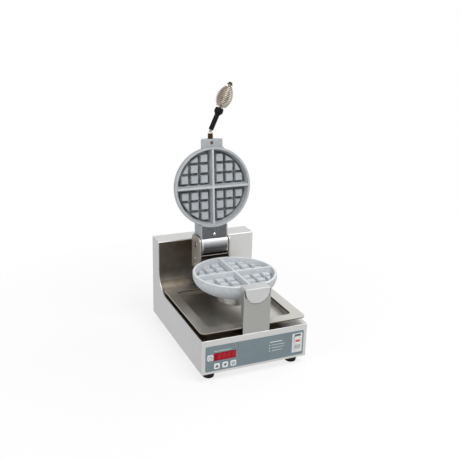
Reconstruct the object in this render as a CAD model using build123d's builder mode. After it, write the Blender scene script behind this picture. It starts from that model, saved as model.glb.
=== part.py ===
from build123d import *
from math import cos, pi, radians, sin, sqrt, tan
import os

os.makedirs("parts", exist_ok=True)

# Housing: an L-shaped sheet steel base with a tower at the back
WIDTH = 254.0            # across the side panels
FOOT_H = 19.0            # rubber feet under the housing
DECK_H = 79.7            # deck above the underside of the housing
PART_RISE = 98.5         # parting plane above the deck
TOWER_RISE = 27.4        # tower top above the parting plane
TOWER_D = 50.0           # tower front to rear cover
BEND = 50.0              # concave sweep from the deck up to the tower
SHEET = 1.5
EDGE_R = 3.0             # rounded front edge of the tower top
FLANGE = 12.0            # turned-up flange of the bottom pan
FIT = 0.3                # gap between pieces that move past each other
SEAT = 0.02              # radial gap of a piece pressed or screwed home
RUN = 0.05               # radial gap of a turning fit
REAR_SCREW_IN = 8.0      # screws of the rear cover from its sides
REAR_SCREW_UP = 16.0     # and from its ends
VENTS = 9                # slots in each row of the rear cover
VENT_PITCH = 14.0
VENT_L = 26.0
VENT_W = 5.0

# Waffle castings
RIM_BACK = 26.0          # rim of the castings behind the front panel
PLATE_GAP = 0.3          # between the castings when shut
RIM_R = 97.0
RIM_H = 8.0              # straight lip of the rim before the dome starts
DOME_D = 44.0            # parting plane to the flat of the dome
DOME_FLAT_R = 46.0
RIM_ROUND = 1.5
RIM_LAND = 5.5           # flat of the rim round the waffle
CAVITY_D = 17.0
BAR_W = 4.5              # crest of the cross bars between the quarters
GROOVE_W = 3.4           # floor between the pegs
PEG = 21.6               # peg width at its foot
PEG_H = 9.0
PEGS = 3                 # rows in each quarter
FOOT_GAP = 2.0           # floor between the outer pegs and the walls
DRAFT = 16.0             # degrees of draft on every wall of the grid
BOSS_R = 28.5            # half-round trunnion at the front of each casting
BOSS_PROUD = 2.0         # end of the lower trunnion ahead of the front panel
BOSS_RISE = 6.5          # block on the lower trunnion, above the parting plane
TAB_BACK = 10.0          # end of the upper trunnion behind the end of the lower one
BOSS_ROUND = 1.5
BOSS_ROOT = 10.0         # trunnions start this far inside the waffle's edge
POCKET_R = 35.0
POCKET_CEILING = 27.0    # parting plane to the roof of the heater pocket
HEATER_R = 22.0          # middle of the ring heater
HEATER_W = 18.0
HEATER_T = 7.0
CAN_R = 39.0
CAN_H = 27.0
CAN_FLANGE = 5.0
CAN_SHEET = 1.2
CAN_ROUND = 5.0

# Lid hinge and yoke
NECK_L = 47.0            # rim to hinge axis
HINGE_RISE = 20.0        # hinge axis above the parting plane
OPEN_ANGLE = 95.0        # shut to open
PIN_D = 10.0
PIN_PROUD = 0.8          # pin outside the cheeks
PIN_EDGE = 0.6
DRUM_R = 26.5
DRUM_GAP = 1.3           # hinge drum to the back plate of the yoke
DRUM_WALL = 2.5
DRUM_CAP = 4.0           # end ring of the hinge drum
DRUM_CAP_EDGE = 1.2
NECK_W = 69.0
NECK_WALL = 5.0
CHANNEL_STOP = 17.0      # end of the channel in the neck before the hinge axis
COVER_T = 2.0
COVER_IN = 7.0           # cover inside the rim before its edge is rounded off
COVER_GAP = 1.0          # rim to the cover's round edge
COVER_SCREW_IN = 19.0    # screw after the start of the channel
YOKE_T = 4.0
YOKE_GAP = 1.2           # yoke to tower
YOKE_LIP = 24.2          # cheek ahead of the hinge axis
YOKE_TOP = 22.0          # cheek above the hinge axis
YOKE_FOOT = 3.6          # cheek below the lower arm
STOP_H = 21.0            # back plate above the hinge axis
CHEEK_GAP = 2.0          # neck to cheek
CHEEK_ROUND = 12.0       # upper corners of a cheek
CHEEK_FOOT_ROUND = 8.0   # its lower front corner
ARM_GAP = 1.9            # hinge drum to the lower arm
ARM_H = 31.0
ARM_IN = 30.0            # root of the lower arm inside the rim
ARM_END = 1.0            # its end to the back plate of the yoke
ARM_ROUND = 6.0
STRIP_T = 2.0
STRIP_IN = 1.5           # behind the front edge of the cheeks
STRIP_DROP = 1.2         # below the parting plane, clear of the closing neck
SHAFT_R = 14.0
SHAFT_BORE_R = 8.0
SHAFT_FLANGE_R = 22.0
SHAFT_FLANGE_T = 4.2
BEARING_L = 26.0
HOUSING_T = 6.0
HOUSING_W = 84.0
HOUSING_H = 46.0
HOUSING_ROUND = 6.0
HOUSING_RIB = 5.0
HOUSING_BOLT_IN = 7.0    # edges of the housing to its bolts
BUSH_WALL = 4.0
BUSH_FLANGE_T = 2.0
RING_T = 1.6
RING_W = 3.0             # ring outside the shaft
GROOVE_D = 1.2

# Handle
HANDLE_DROP = 15.0        # handle axis behind the face of the lid
STUB_AF = 11.5
STUB_L = 13.0
COLLAR_L = 3.0
BEND_AFTER = 2.5         # collar to the bend in the rod
HANDLE_LEAN = 26.0
TAB_SCREW_R = 4.2         # clamp screw in the face of the tab
TAB_SCREW_IN = 9.0
ROD_R = 3.5
ROD_IN = 15.0            # rod in the upper trunnion
ROD_PLAY = 4.5           # depth of its bore past its end
ROD_BEND = 10.0
SLEEVE_R = 5.9
SLEEVE_AT = 3.0          # sleeve after the bend
SLEEVE_L = 38.0
FERRULE_R = 10.8
FERRULE_L = 17.0
COIL_L = 60.0
COIL_END = 1.0           # straight end of the wire at the ferrule and the nut
COIL_TURNS = 12
COIL_WIRE = 3.0
COIL_FOOT_R = 8.6
COIL_TIP_R = 5.8
COIL_MAX_R = 17.8
NUT_R = 4.9
NUT_L = 6.5
WASHER_T = 1.2

# Drip tray
TRAY_SIDE = 0.5          # rim inside the outer faces of the side panels
TRAY_FRONT = 6.0         # rim behind the front panel face
TRAY_BACK = 35.0         # rim before the tower
TRAY_H = 15.3            # deck to the top of the rim
TRAY_T = 0.9
TRAY_RIM = 23.5
TRAY_CORNER = 12.0
TRAY_LIP = 3.0
TRAY_TAPER = 10.0

# Front cradle
POST_W = 64.0
POST_T = 3.0
POST_RISE = 1.3          # shoulders above the parting plane
POST_FOOT = 18.0
SADDLE_GAP = 2.5         # round the lower trunnion
POST_LIP = 9.0
POST_LIP_DROP = 58.0

# Controls on the front panel, heights above the underside of the housing
OVERLAY_SIDE = 8.0       # film to the side of the panel
OVERLAY_H = 60.0
OVERLAY_LOW = 5.5
OVERLAY_T = 0.5
OVERLAY_R = 3.0
DISPLAY_IN = 53.2        # from the left side of the panel, as the next ones
DISPLAY_Z = 38.8
DISPLAY_W = 51.5
DISPLAY_H = 18.5
DISPLAY_T = 2.0
LED_IN = 74.5
LED_Z = 59.0
LED_R = 2.2
KEY = 13.6
KEY_R = 3.0
KEY_Z = 16.7
KEY_IN = 34.4            # first key of the row
KEY_PITCH = 19.4
TIMER_IN = 18.8
TIMER_Z = 38.5
KEY_PROUD = 1.0
KEY_TRAVEL = 0.6
KEY_LIP = 1.2
BOARD_T = 1.6
BOARD_W = 85.7
BOARD_POST_IN = 4.0      # edge of the board to its spacers
BOARD_GAP = 12.0         # panel back to board
SWITCH_IN = 24.3         # from the right side of the panel
SWITCH_Z = 36.7
SWITCH_W = 25.5
SWITCH_H = 46.5
SWITCH_LIP = 1.5         # bezel over the edge of its hole
SWITCH_PROUD = 2.0
SWITCH_BODY = 22.0
ROCKER_W = 15.4
ROCKER_H = 33.4
ROCKER_TILT = 8.0
ROCKER_DEEP = 6.0
PIVOT_R = 1.2
PIVOT_IN = 1.5           # pivot pin in each wall of the bezel
GLAND_IN = 45.0          # from the right side of the panel
GLAND_Z = 26.0
GLAND_R = 11.0
GLAND_BORE_R = 4.5
GLAND_WALL = 2.5         # flats of the flange outside its thread
GLAND_FLANGE = 6.8
GLAND_L = 10.0           # thread behind the cover
FOOT_R = 15.0
FOOT_INSET = 25.0
FOOT_BORE_H = 8.0
FOOT_STEP = 2.5          # narrower sole
FOOT_EDGE = 1.2
SCREW_R = 2.0

# Sizes and places that follow from the sizes above
CAST_FRONT = RIM_BACK + RIM_R
HINGE_BACK = RIM_R + NECK_L
HINGE_OUT = DRUM_R + DRUM_GAP + YOKE_T
YOKE_D = HINGE_OUT + YOKE_LIP
DEPTH = CAST_FRONT + HINGE_BACK + HINGE_OUT + YOKE_GAP + TOWER_D
PART_H = DECK_H + PART_RISE
TOWER_H = PART_H + TOWER_RISE
POST_H = PART_H + POST_RISE
CAVITY_R = RIM_R - RIM_LAND
BOSS_REACH = CAST_FRONT + BOSS_PROUD
TAB_REACH = BOSS_REACH - TAB_BACK
BEND_AT = TAB_REACH + STUB_L + COLLAR_L + BEND_AFTER
NECK_START = RIM_R
NECK_END = HINGE_BACK - CHANNEL_STOP
COVER_START = RIM_R - COVER_IN
ARM_DROP = DRUM_R - HINGE_RISE + ARM_GAP
YOKE_BOTTOM = ARM_DROP + ARM_H + YOKE_FOOT
TRAY_W = WIDTH - 2 * TRAY_SIDE
TRAY_L = DEPTH - TOWER_D - TRAY_FRONT - TRAY_BACK
OVERLAY_W = WIDTH - 2 * OVERLAY_SIDE
DISPLAY_X = DISPLAY_IN - WIDTH / 2
LED_X = LED_IN - WIDTH / 2
KEY_XS = KEY_IN - WIDTH / 2
TIMER_X = TIMER_IN - WIDTH / 2
SWITCH_X = WIDTH / 2 - SWITCH_IN
GLAND_X = WIDTH / 2 - GLAND_IN
Y_FRONT = -DEPTH / 2
Y_BACK = DEPTH / 2
Y_TOWER = Y_BACK - TOWER_D
Z_BASE = FOOT_H
Z_DECK = FOOT_H + DECK_H
Z_TOP = FOOT_H + TOWER_H
Y_CAST = Y_FRONT + CAST_FRONT
Z_PART = FOOT_H + PART_H
PANEL_BACK = Y_FRONT + SHEET
INNER_W = WIDTH - 2 * SHEET
FRONT = Plane((0, Y_FRONT, Z_BASE), x_dir=(1, 0, 0), z_dir=(0, -1, 0))
REAR = Plane((0, Y_BACK, Z_BASE), x_dir=(-1, 0, 0), z_dir=(0, 1, 0))
LOW = Plane((0, Y_CAST, Z_PART))
HINGE = Plane((0, Y_CAST + HINGE_BACK, Z_PART + HINGE_RISE), x_dir=(0, 1, 0), z_dir=(1, 0, 0))
LEAN = radians(OPEN_ANGLE - 90)
LID_UP = Vector(0, sin(LEAN), cos(LEAN))
LID_OUT = Vector(0, -cos(LEAN), sin(LEAN))
HINGE_DEEP = HINGE_RISE - PLATE_GAP
LID = Plane(
    HINGE.origin + LID_UP * HINGE_BACK + LID_OUT * HINGE_DEEP,
    x_dir=(1, 0, 0),
    z_dir=LID_OUT,
)
YOKE_BACK = Y_TOWER - YOKE_GAP
CHEEK_X = NECK_W / 2 + CHEEK_GAP
PEG_PITCH = PEG + GROOVE_W


def section(frame):
    # plane across a frame: x sideways, y along the frame's normal
    return Plane(frame.origin, x_dir=frame.x_dir, z_dir=-frame.y_dir)


def profile(frame):
    # side view of a frame: x along its length, y along its normal
    return Plane(frame.origin, x_dir=frame.y_dir, z_dir=frame.x_dir)


def save(piece, label):
    piece.part.label = label
    export_step(piece.part, "parts/" + label + ".step")


# Housing outline seen from the side, shared by the side panels and the wrap
with BuildSketch() as outline:
    with BuildLine():
        Polyline(
            (PANEL_BACK, Z_BASE),
            (Y_BACK - SHEET, Z_BASE),
            (Y_BACK - SHEET, Z_TOP),
            (Y_TOWER, Z_TOP),
            (Y_TOWER, Z_DECK),
            (PANEL_BACK, Z_DECK),
            close=True,
        )
    make_face()
    fillet(outline.vertices().sort_by_distance((Y_TOWER, Z_DECK))[0], BEND)
    fillet(outline.vertices().sort_by_distance((Y_TOWER, Z_TOP))[0], EDGE_R)

# Side panels: flat sheets with that outline
for side, x in (("left", -WIDTH / 2), ("right", WIDTH / 2 - SHEET)):
    with BuildPart() as side_panel:
        with BuildSketch(Plane.YZ.offset(x)):
            add(outline.sketch)
        extrude(amount=SHEET)
    save(side_panel, "side_panel_" + side)

# Deck, splash, tower front and tower top in one bent sheet
with BuildPart() as deck_splash:
    with BuildSketch(Plane.YZ):
        add(outline.sketch)
        offset(amount=-SHEET, mode=Mode.SUBTRACT)
        with Locations((0, Z_BASE)):
            Rectangle(2 * DEPTH, 2 * (DECK_H - SHEET), mode=Mode.SUBTRACT)
        with Locations((Y_BACK - SHEET, Z_BASE)):
            Rectangle(2 * SHEET, 2 * (TOWER_H - SHEET), mode=Mode.SUBTRACT)
    extrude(amount=INNER_W / 2, both=True)
    with BuildSketch(Plane.XY.offset(Z_DECK)):
        with Locations((0, PANEL_BACK)):
            Rectangle(POST_W + 2 * FIT, 2 * (POST_T + FIT))
    extrude(amount=-2 * SHEET, mode=Mode.SUBTRACT)
    with BuildSketch(section(LOW).offset(-(Y_TOWER - Y_CAST))):
        Circle(SHAFT_FLANGE_R + 1)
    extrude(amount=-3 * SHEET, both=True, mode=Mode.SUBTRACT)
save(deck_splash, "deck_splash")

# Bottom pan with turned-up flanges, vent slots and holes for the feet
FOOT_X = WIDTH / 2 - FOOT_INSET
FOOT_Y = DEPTH / 2 - FOOT_INSET
with BuildPart() as bottom_pan:
    with BuildSketch(Plane.XY.offset(Z_BASE)):
        Rectangle(INNER_W, DEPTH - 2 * SHEET)
    extrude(amount=FLANGE)
    with BuildSketch(Plane.XY.offset(Z_BASE + SHEET)):
        with Locations((0, -SHEET)):
            Rectangle(INNER_W - 2 * SHEET, DEPTH - 2 * SHEET)
    extrude(amount=FLANGE, mode=Mode.SUBTRACT)
    with BuildSketch(Plane.XY.offset(Z_BASE)):
        with GridLocations(FOOT_INSET, 1, 6, 1):
            SlotOverall(4 * FOOT_INSET, VENT_W, rotation=90)
        with GridLocations(2 * FOOT_X, 2 * FOOT_Y, 2, 2):
            Circle(SCREW_R + SEAT)
    extrude(amount=SHEET, mode=Mode.SUBTRACT)
save(bottom_pan, "bottom_pan")

# Rear cover with two rows of vent slots and the inlet hole
REAR_SPAN = (WIDTH - 2 * REAR_SCREW_IN, TOWER_H / 2 - REAR_SCREW_UP)
with BuildPart() as rear_cover:
    with BuildSketch(REAR.offset(-SHEET)):
        with Locations((0, TOWER_H / 2)):
            Rectangle(WIDTH, TOWER_H)
    extrude(amount=SHEET)
    with BuildSketch(REAR):
        with Locations((0, TOWER_H * 0.72), (0, TOWER_H * 0.34)):
            with GridLocations(VENT_PITCH, 1, VENTS, 1):
                SlotOverall(VENT_L, VENT_W, rotation=90)
        with Locations((-GLAND_X, GLAND_Z)):
            Circle(GLAND_R - GLAND_WALL + SEAT)
        with Locations((0, TOWER_H / 2)):
            with GridLocations(*REAR_SPAN, 2, 3):
                Circle(SCREW_R + SEAT)
    extrude(amount=-SHEET, mode=Mode.SUBTRACT)
save(rear_cover, "rear_cover")


def pan_screw(radius, length, head=2.0):
    # bevelled head standing on the plane z = 0, shank below it
    with BuildPart() as screw:
        with BuildSketch(Plane.XZ):
            with BuildLine():
                Polyline(
                    (0, radius),
                    (head * radius * 0.6, radius),
                    (head * radius, radius * 0.4),
                    (head * radius, 0),
                    (radius, 0),
                    (radius, -length),
                    (0, -length),
                    close=True,
                )
            make_face()
        revolve(axis=Axis.Z)
        with BuildSketch(Plane.XY.offset(radius)):
            Rectangle(radius * 1.6, radius * 0.35)
            Rectangle(radius * 0.35, radius * 1.6)
        extrude(amount=-radius * 0.7, mode=Mode.SUBTRACT)
    return screw.part


# Screws of the rear cover
with BuildPart() as rear_screws:
    with Locations(REAR):
        with Locations((0, TOWER_H / 2)):
            with GridLocations(*REAR_SPAN, 2, 3):
                add(pan_screw(SCREW_R, 3 * SHEET))
save(rear_screws, "rear_screws")

# Rubber feet with a counterbored hole, held by screws from below
with BuildPart() as feet:
    with BuildSketch(Plane.XZ):
        with BuildLine():
            Polyline(
                (SCREW_R + SEAT, FOOT_BORE_H),
                (2 * SCREW_R + 1, FOOT_BORE_H),
                (2 * SCREW_R + 1, 0),
                (FOOT_R - FOOT_STEP, 0),
                (FOOT_R, FOOT_H - 3),
                (FOOT_R, FOOT_H),
                (SCREW_R + SEAT, FOOT_H),
                close=True,
            )
        foot_face = make_face()
        chamfer(foot_face.vertices().sort_by_distance((FOOT_R - FOOT_STEP, 0))[0], FOOT_EDGE)
    foot = revolve(axis=Axis.Z, mode=Mode.PRIVATE)
    with GridLocations(2 * FOOT_X, 2 * FOOT_Y, 2, 2):
        add(foot)
save(feet, "feet")

with BuildPart() as foot_screws:
    with Locations(Plane((0, 0, FOOT_BORE_H), x_dir=(1, 0, 0), z_dir=(0, 0, -1))):
        with GridLocations(2 * FOOT_X, 2 * FOOT_Y, 2, 2):
            add(pan_screw(SCREW_R, FOOT_H - FOOT_BORE_H + 2 * SHEET))
save(foot_screws, "foot_screws")

# Front panel: full-width plate with cut-outs for the controls
OVERLAY_MID = OVERLAY_LOW + OVERLAY_H / 2
KEY_SPOTS = [(KEY_XS + KEY_PITCH * n, KEY_Z) for n in range(3)] + [(TIMER_X, TIMER_Z)]
with BuildPart() as front_panel:
    with BuildSketch(FRONT):
        with Locations((0, DECK_H / 2)):
            Rectangle(WIDTH, DECK_H)
    extrude(amount=-SHEET)
    fillet(front_panel.edges().filter_by(Axis.Z).group_by(Axis.Y)[0], SHEET * 0.8)
    fillet(front_panel.edges().group_by(Axis.Z)[-1].sort_by(Axis.Y)[0], SHEET * 0.8)
    with BuildSketch(FRONT):
        with Locations((DISPLAY_X, DISPLAY_Z)):
            Rectangle(DISPLAY_W + 2 * SEAT, DISPLAY_H + 2 * SEAT)
        with Locations((LED_X, LED_Z)):
            Circle(LED_R + SEAT)
        with Locations(*KEY_SPOTS):
            RectangleRounded(KEY + 2 * FIT, KEY + 2 * FIT, KEY_R + FIT)
        with Locations((SWITCH_X, SWITCH_Z)):
            Rectangle(SWITCH_W - 2 * SWITCH_LIP, SWITCH_H - 2 * SWITCH_LIP)
    extrude(amount=-2 * SHEET, mode=Mode.SUBTRACT)
save(front_panel, "front_panel")

# Printed overlay lying on the front panel
with BuildPart() as control_overlay:
    with BuildSketch(FRONT):
        with Locations((0, OVERLAY_MID)):
            RectangleRounded(OVERLAY_W, OVERLAY_H, OVERLAY_R)
        with Locations((DISPLAY_X, DISPLAY_Z)):
            Rectangle(DISPLAY_W + 2 * SEAT, DISPLAY_H + 2 * SEAT, mode=Mode.SUBTRACT)
        with Locations((LED_X, LED_Z)):
            Circle(LED_R + SEAT, mode=Mode.SUBTRACT)
        with Locations(*KEY_SPOTS):
            RectangleRounded(KEY + 2 * FIT, KEY + 2 * FIT, KEY_R + FIT, mode=Mode.SUBTRACT)
        with Locations((SWITCH_X, SWITCH_Z)):
            Rectangle(SWITCH_W + 2 * SEAT, SWITCH_H + 2 * SEAT, mode=Mode.SUBTRACT)
    extrude(amount=OVERLAY_T)
save(control_overlay, "control_overlay")

# Red filter over the display, with a lip behind the panel
with BuildPart() as display_window:
    with BuildSketch(FRONT.offset(-SHEET)):
        with Locations((DISPLAY_X, DISPLAY_Z)):
            Rectangle(DISPLAY_W, DISPLAY_H)
    extrude(amount=SHEET + OVERLAY_T * 0.6)
    with BuildSketch(FRONT.offset(-SHEET)):
        with Locations((DISPLAY_X, DISPLAY_Z)):
            Rectangle(DISPLAY_W + 1, DISPLAY_H + 1)
    extrude(amount=-DISPLAY_T)
save(display_window, "display_window")

# Indicator lamp: domed lens through the panel
with BuildPart() as indicator_led:
    with BuildSketch(FRONT.offset(-BOARD_GAP - SHEET)):
        with Locations((LED_X, LED_Z)):
            Circle(LED_R)
    extrude(amount=BOARD_GAP + SHEET + OVERLAY_T + 0.6)
    chamfer(indicator_led.edges().sort_by(Axis.Y)[0], LED_R * 0.4)
save(indicator_led, "indicator_led")

# Push keys: rounded caps with a lip behind the panel that stops them
KEY_NAMES = ["key_up", "key_down", "key_menu", "key_timer"]
for label, spot in zip(KEY_NAMES, KEY_SPOTS):
    with BuildPart() as key:
        with BuildSketch(FRONT.offset(-SHEET)):
            with Locations(spot):
                RectangleRounded(KEY, KEY, KEY_R)
        extrude(amount=SHEET + OVERLAY_T + KEY_PROUD)
        chamfer(key.edges().group_by(Axis.Y)[0], KEY_PROUD * 0.4)
        with BuildSketch(FRONT.offset(-SHEET)):
            with Locations(spot):
                Rectangle(KEY + 2, KEY + 2)
        extrude(amount=-KEY_LIP)
    save(key, label)

# Control board behind the panel on four spacers, with a button under each key
BOARD_X = (DISPLAY_X + TIMER_X) / 2 + KEY
BOARD_POSTS = (BOARD_W - 2 * BOARD_POST_IN, OVERLAY_H - 2 * BOARD_POST_IN)
BUTTON_L = BOARD_GAP - KEY_LIP - KEY_TRAVEL - FIT
with BuildPart() as control_board:
    with BuildSketch(FRONT.offset(-SHEET - BOARD_GAP)):
        with Locations((BOARD_X, OVERLAY_MID)):
            Rectangle(BOARD_W, OVERLAY_H)
            with GridLocations(*BOARD_POSTS, 2, 2):
                Circle(SCREW_R * 0.75, mode=Mode.SUBTRACT)
    extrude(amount=-BOARD_T)
    with BuildSketch(FRONT.offset(-SHEET - BOARD_GAP)):
        with Locations(*KEY_SPOTS):
            Circle(KEY / 4)
    extrude(amount=BUTTON_L)
    with BuildSketch(FRONT.offset(-SHEET - BOARD_GAP)):
        with Locations((DISPLAY_X, DISPLAY_Z)):
            Rectangle(DISPLAY_W, DISPLAY_H)
    extrude(amount=BOARD_GAP - DISPLAY_T)
save(control_board, "control_board")

with BuildPart() as board_spacers:
    with BuildSketch(FRONT.offset(-SHEET)):
        with Locations((BOARD_X, OVERLAY_MID)):
            with GridLocations(*BOARD_POSTS, 2, 2):
                RegularPolygon(SCREW_R * 1.5, 6)
    extrude(amount=-BOARD_GAP)
save(board_spacers, "board_spacers")

# Power switch: bezel with its body behind the panel, and the rocker in it
OPEN_W = ROCKER_W + 2 * FIT
OPEN_H = ROCKER_H + 8 * FIT
with BuildPart() as switch_bezel:
    with BuildSketch(FRONT):
        with Locations((SWITCH_X, SWITCH_Z)):
            Rectangle(SWITCH_W, SWITCH_H)
    extrude(amount=SWITCH_PROUD)
    chamfer(switch_bezel.edges().group_by(Axis.Y)[0], SWITCH_PROUD * 0.4)
    with BuildSketch(FRONT):
        with Locations((SWITCH_X, SWITCH_Z)):
            Rectangle(SWITCH_W - 2 * (SWITCH_LIP + SEAT), SWITCH_H - 2 * (SWITCH_LIP + SEAT))
    extrude(amount=-SWITCH_BODY)
    with BuildSketch(FRONT.offset(SWITCH_PROUD)):
        with Locations((SWITCH_X, SWITCH_Z)):
            Rectangle(OPEN_W, OPEN_H)
    extrude(amount=-SWITCH_PROUD - ROCKER_DEEP * 2, mode=Mode.SUBTRACT)
    with BuildSketch(Plane.YZ.offset(SWITCH_X)):
        with Locations((Y_FRONT, Z_BASE + SWITCH_Z)):
            Circle(PIVOT_R + RUN)
    extrude(amount=OPEN_W / 2 + PIVOT_IN + FIT, both=True, mode=Mode.SUBTRACT)
save(switch_bezel, "switch_bezel")

TILT = radians(ROCKER_TILT)
ROCKER = Plane(
    (SWITCH_X, Y_FRONT, Z_BASE + SWITCH_Z), x_dir=(0, cos(TILT), sin(TILT)), z_dir=(1, 0, 0)
)
with BuildPart() as switch_rocker:
    with BuildSketch(ROCKER):
        with BuildLine():
            face = ThreePointArc((-4.5, ROCKER_H / 2), (-2.4, 0), (-4.5, -ROCKER_H / 2))
            Polyline(
                face @ 1,
                (0, -ROCKER_H / 2),
                (ROCKER_DEEP, -ROCKER_H / 4),
                (ROCKER_DEEP, ROCKER_H / 4),
                (0, ROCKER_H / 2),
                face @ 0,
            )
        make_face()
    extrude(amount=ROCKER_W / 2, both=True)
    with BuildSketch(ROCKER):
        Circle(PIVOT_R)
    extrude(amount=OPEN_W / 2 + PIVOT_IN, both=True)
save(switch_rocker, "switch_rocker")

# Cable gland at the back: flanged ring through the cover and its nut inside
GLAND = Plane(REAR.from_local_coords((-GLAND_X, GLAND_Z, 0)), x_dir=REAR.x_dir, z_dir=REAR.z_dir)
with BuildPart() as cord_gland:
    with BuildSketch(GLAND):
        RegularPolygon(GLAND_R, 6)
    extrude(amount=GLAND_FLANGE)
    with BuildSketch(GLAND):
        Circle(GLAND_R - GLAND_WALL)
    extrude(amount=-GLAND_L)
    with BuildSketch(GLAND.offset(GLAND_FLANGE)):
        Circle(GLAND_BORE_R)
    extrude(amount=-2 * (GLAND_FLANGE + GLAND_L), mode=Mode.SUBTRACT)
save(cord_gland, "cord_gland")

# Drip tray: pressed pan with sloping walls, a wide flat rim and a turned-down lip
TRAY_Y = Y_FRONT + TRAY_FRONT + TRAY_L / 2
TRAY_TOP = Z_DECK + TRAY_H
PAN_W = TRAY_W - 2 * TRAY_RIM
PAN_L = TRAY_L - 2 * TRAY_RIM
with BuildPart() as drip_tray:
    with BuildSketch(Plane((0, TRAY_Y, TRAY_TOP))):
        RectangleRounded(PAN_W, PAN_L, TRAY_CORNER)
    extrude(amount=-TRAY_H, taper=TRAY_TAPER)
    with BuildSketch(Plane((0, TRAY_Y, TRAY_TOP))):
        RectangleRounded(TRAY_W, TRAY_L, TRAY_CORNER)
    extrude(amount=-TRAY_LIP)
    with BuildSketch(Plane((0, TRAY_Y, TRAY_TOP - TRAY_T))):
        RectangleRounded(TRAY_W - 2 * TRAY_T, TRAY_L - 2 * TRAY_T, TRAY_CORNER - TRAY_T)
        RectangleRounded(PAN_W, PAN_L, TRAY_CORNER, mode=Mode.SUBTRACT)
    extrude(amount=-TRAY_LIP, mode=Mode.SUBTRACT)
    with BuildSketch(Plane((0, TRAY_Y, TRAY_TOP))):
        RectangleRounded(PAN_W - 2 * TRAY_T, PAN_L - 2 * TRAY_T, TRAY_CORNER - TRAY_T)
    extrude(amount=-TRAY_H + TRAY_T, taper=TRAY_TAPER, mode=Mode.SUBTRACT)
save(drip_tray, "drip_tray")

# Cradle post: bent strip behind the front panel, with a saddle for the trunnion
SADDLE_R = BOSS_R + SADDLE_GAP
POST_TOP = Z_BASE + POST_H
POST_PLANE = Plane((0, PANEL_BACK, 0), x_dir=(1, 0, 0), z_dir=(0, -1, 0))
with BuildPart() as front_cradle:
    with BuildSketch(POST_PLANE):
        with Locations((0, (POST_TOP + Z_BASE + SHEET) / 2)):
            Rectangle(POST_W, POST_TOP - Z_BASE - SHEET)
    extrude(amount=-POST_T)
    with BuildSketch(POST_PLANE):
        with Locations((0, POST_TOP - POST_LIP_DROP / 2)):
            Rectangle(POST_W, POST_LIP_DROP)
            Rectangle(POST_W - 2 * POST_T, POST_LIP_DROP, mode=Mode.SUBTRACT)
    extrude(amount=-POST_T - POST_LIP)
    with BuildSketch(POST_PLANE):
        with Locations((0, Z_BASE + SHEET + POST_T / 2)):
            Rectangle(POST_W, POST_T)
    extrude(amount=-POST_T - POST_FOOT)
    fillet(front_cradle.edges().filter_by(Axis.Y).group_by(Axis.Z)[-1].sort_by(Axis.X)[0], POST_T * 0.8)
    fillet(front_cradle.edges().filter_by(Axis.Y).group_by(Axis.Z)[-1].sort_by(Axis.X)[-1], POST_T * 0.8)
    with BuildSketch(POST_PLANE):
        with Locations((0, Z_PART)):
            Circle(SADDLE_R)
    extrude(amount=-DEPTH / 4, mode=Mode.SUBTRACT)
    with BuildSketch(Plane.XY.offset(Z_BASE)):
        with Locations((0, PANEL_BACK + POST_T + POST_FOOT / 2)):
            with GridLocations(POST_W / 2, 1, 2, 1):
                Circle(SCREW_R + SEAT)
    extrude(amount=3 * POST_T, mode=Mode.SUBTRACT)
save(front_cradle, "front_cradle")

with BuildPart() as cradle_screws:
    with Locations((0, PANEL_BACK + POST_T + POST_FOOT / 2, Z_BASE + SHEET + POST_T)):
        with GridLocations(POST_W / 2, 1, 2, 1):
            add(pan_screw(SCREW_R, POST_T))
save(cradle_screws, "cradle_screws")

# Bearing in the tower: ribbed housing bolted inside the front sheet, and its bush
SHAFT = section(LOW).offset(-(YOKE_BACK - Y_CAST))
BEARING = section(LOW).offset(-(Y_TOWER + SHEET - Y_CAST))
FLANGE_BACK = SHAFT_FLANGE_T - YOKE_GAP - SHEET + FIT
BUSH_R = SHAFT_R + RUN + BUSH_WALL
HOUSING_BOLTS = (HOUSING_W - 2 * HOUSING_BOLT_IN, HOUSING_H - 2 * HOUSING_BOLT_IN)
with BuildPart() as bearing_housing:
    with BuildSketch(BEARING):
        RectangleRounded(HOUSING_W, HOUSING_H, HOUSING_ROUND)
    extrude(amount=-HOUSING_T)
    with BuildSketch(BEARING):
        Circle(BUSH_R + HOUSING_RIB)
        Rectangle(HOUSING_W - 2 * HOUSING_RIB, HOUSING_RIB)
        Rectangle(HOUSING_RIB, HOUSING_H - HOUSING_ROUND)
    extrude(amount=-BEARING_L, taper=2)
    with BuildSketch(BEARING):
        Circle(SHAFT_FLANGE_R + 1)
    extrude(amount=-FLANGE_BACK - BUSH_FLANGE_T, mode=Mode.SUBTRACT)
    with BuildSketch(BEARING):
        Circle(BUSH_R + SEAT)
    extrude(amount=-2 * BEARING_L, mode=Mode.SUBTRACT)
    with BuildSketch(BEARING):
        with GridLocations(*HOUSING_BOLTS, 2, 2):
            Circle(SCREW_R + SEAT)
    extrude(amount=-2 * HOUSING_T, mode=Mode.SUBTRACT)
save(bearing_housing, "bearing_housing")

with BuildPart() as bearing_bush:
    with BuildSketch(BEARING.offset(-FLANGE_BACK)):
        Circle(SHAFT_FLANGE_R + 1 - SEAT)
    extrude(amount=-BUSH_FLANGE_T)
    with BuildSketch(BEARING.offset(-FLANGE_BACK)):
        Circle(BUSH_R)
    extrude(amount=-BEARING_L + FLANGE_BACK)
    with BuildSketch(BEARING):
        Circle(SHAFT_R + RUN)
    extrude(amount=-2 * BEARING_L, mode=Mode.SUBTRACT)
save(bearing_bush, "bearing_bush")

with BuildPart() as bearing_nuts:
    with BuildSketch(BEARING.offset(-HOUSING_T)):
        with GridLocations(*HOUSING_BOLTS, 2, 2):
            RegularPolygon(SCREW_R * 2, 6)
    extrude(amount=-SCREW_R * 1.6)
    with BuildSketch(BEARING):
        with GridLocations(*HOUSING_BOLTS, 2, 2):
            Circle(SCREW_R)
    extrude(amount=-HOUSING_T - SCREW_R * 2.2)
save(bearing_nuts, "bearing_nuts")

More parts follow.
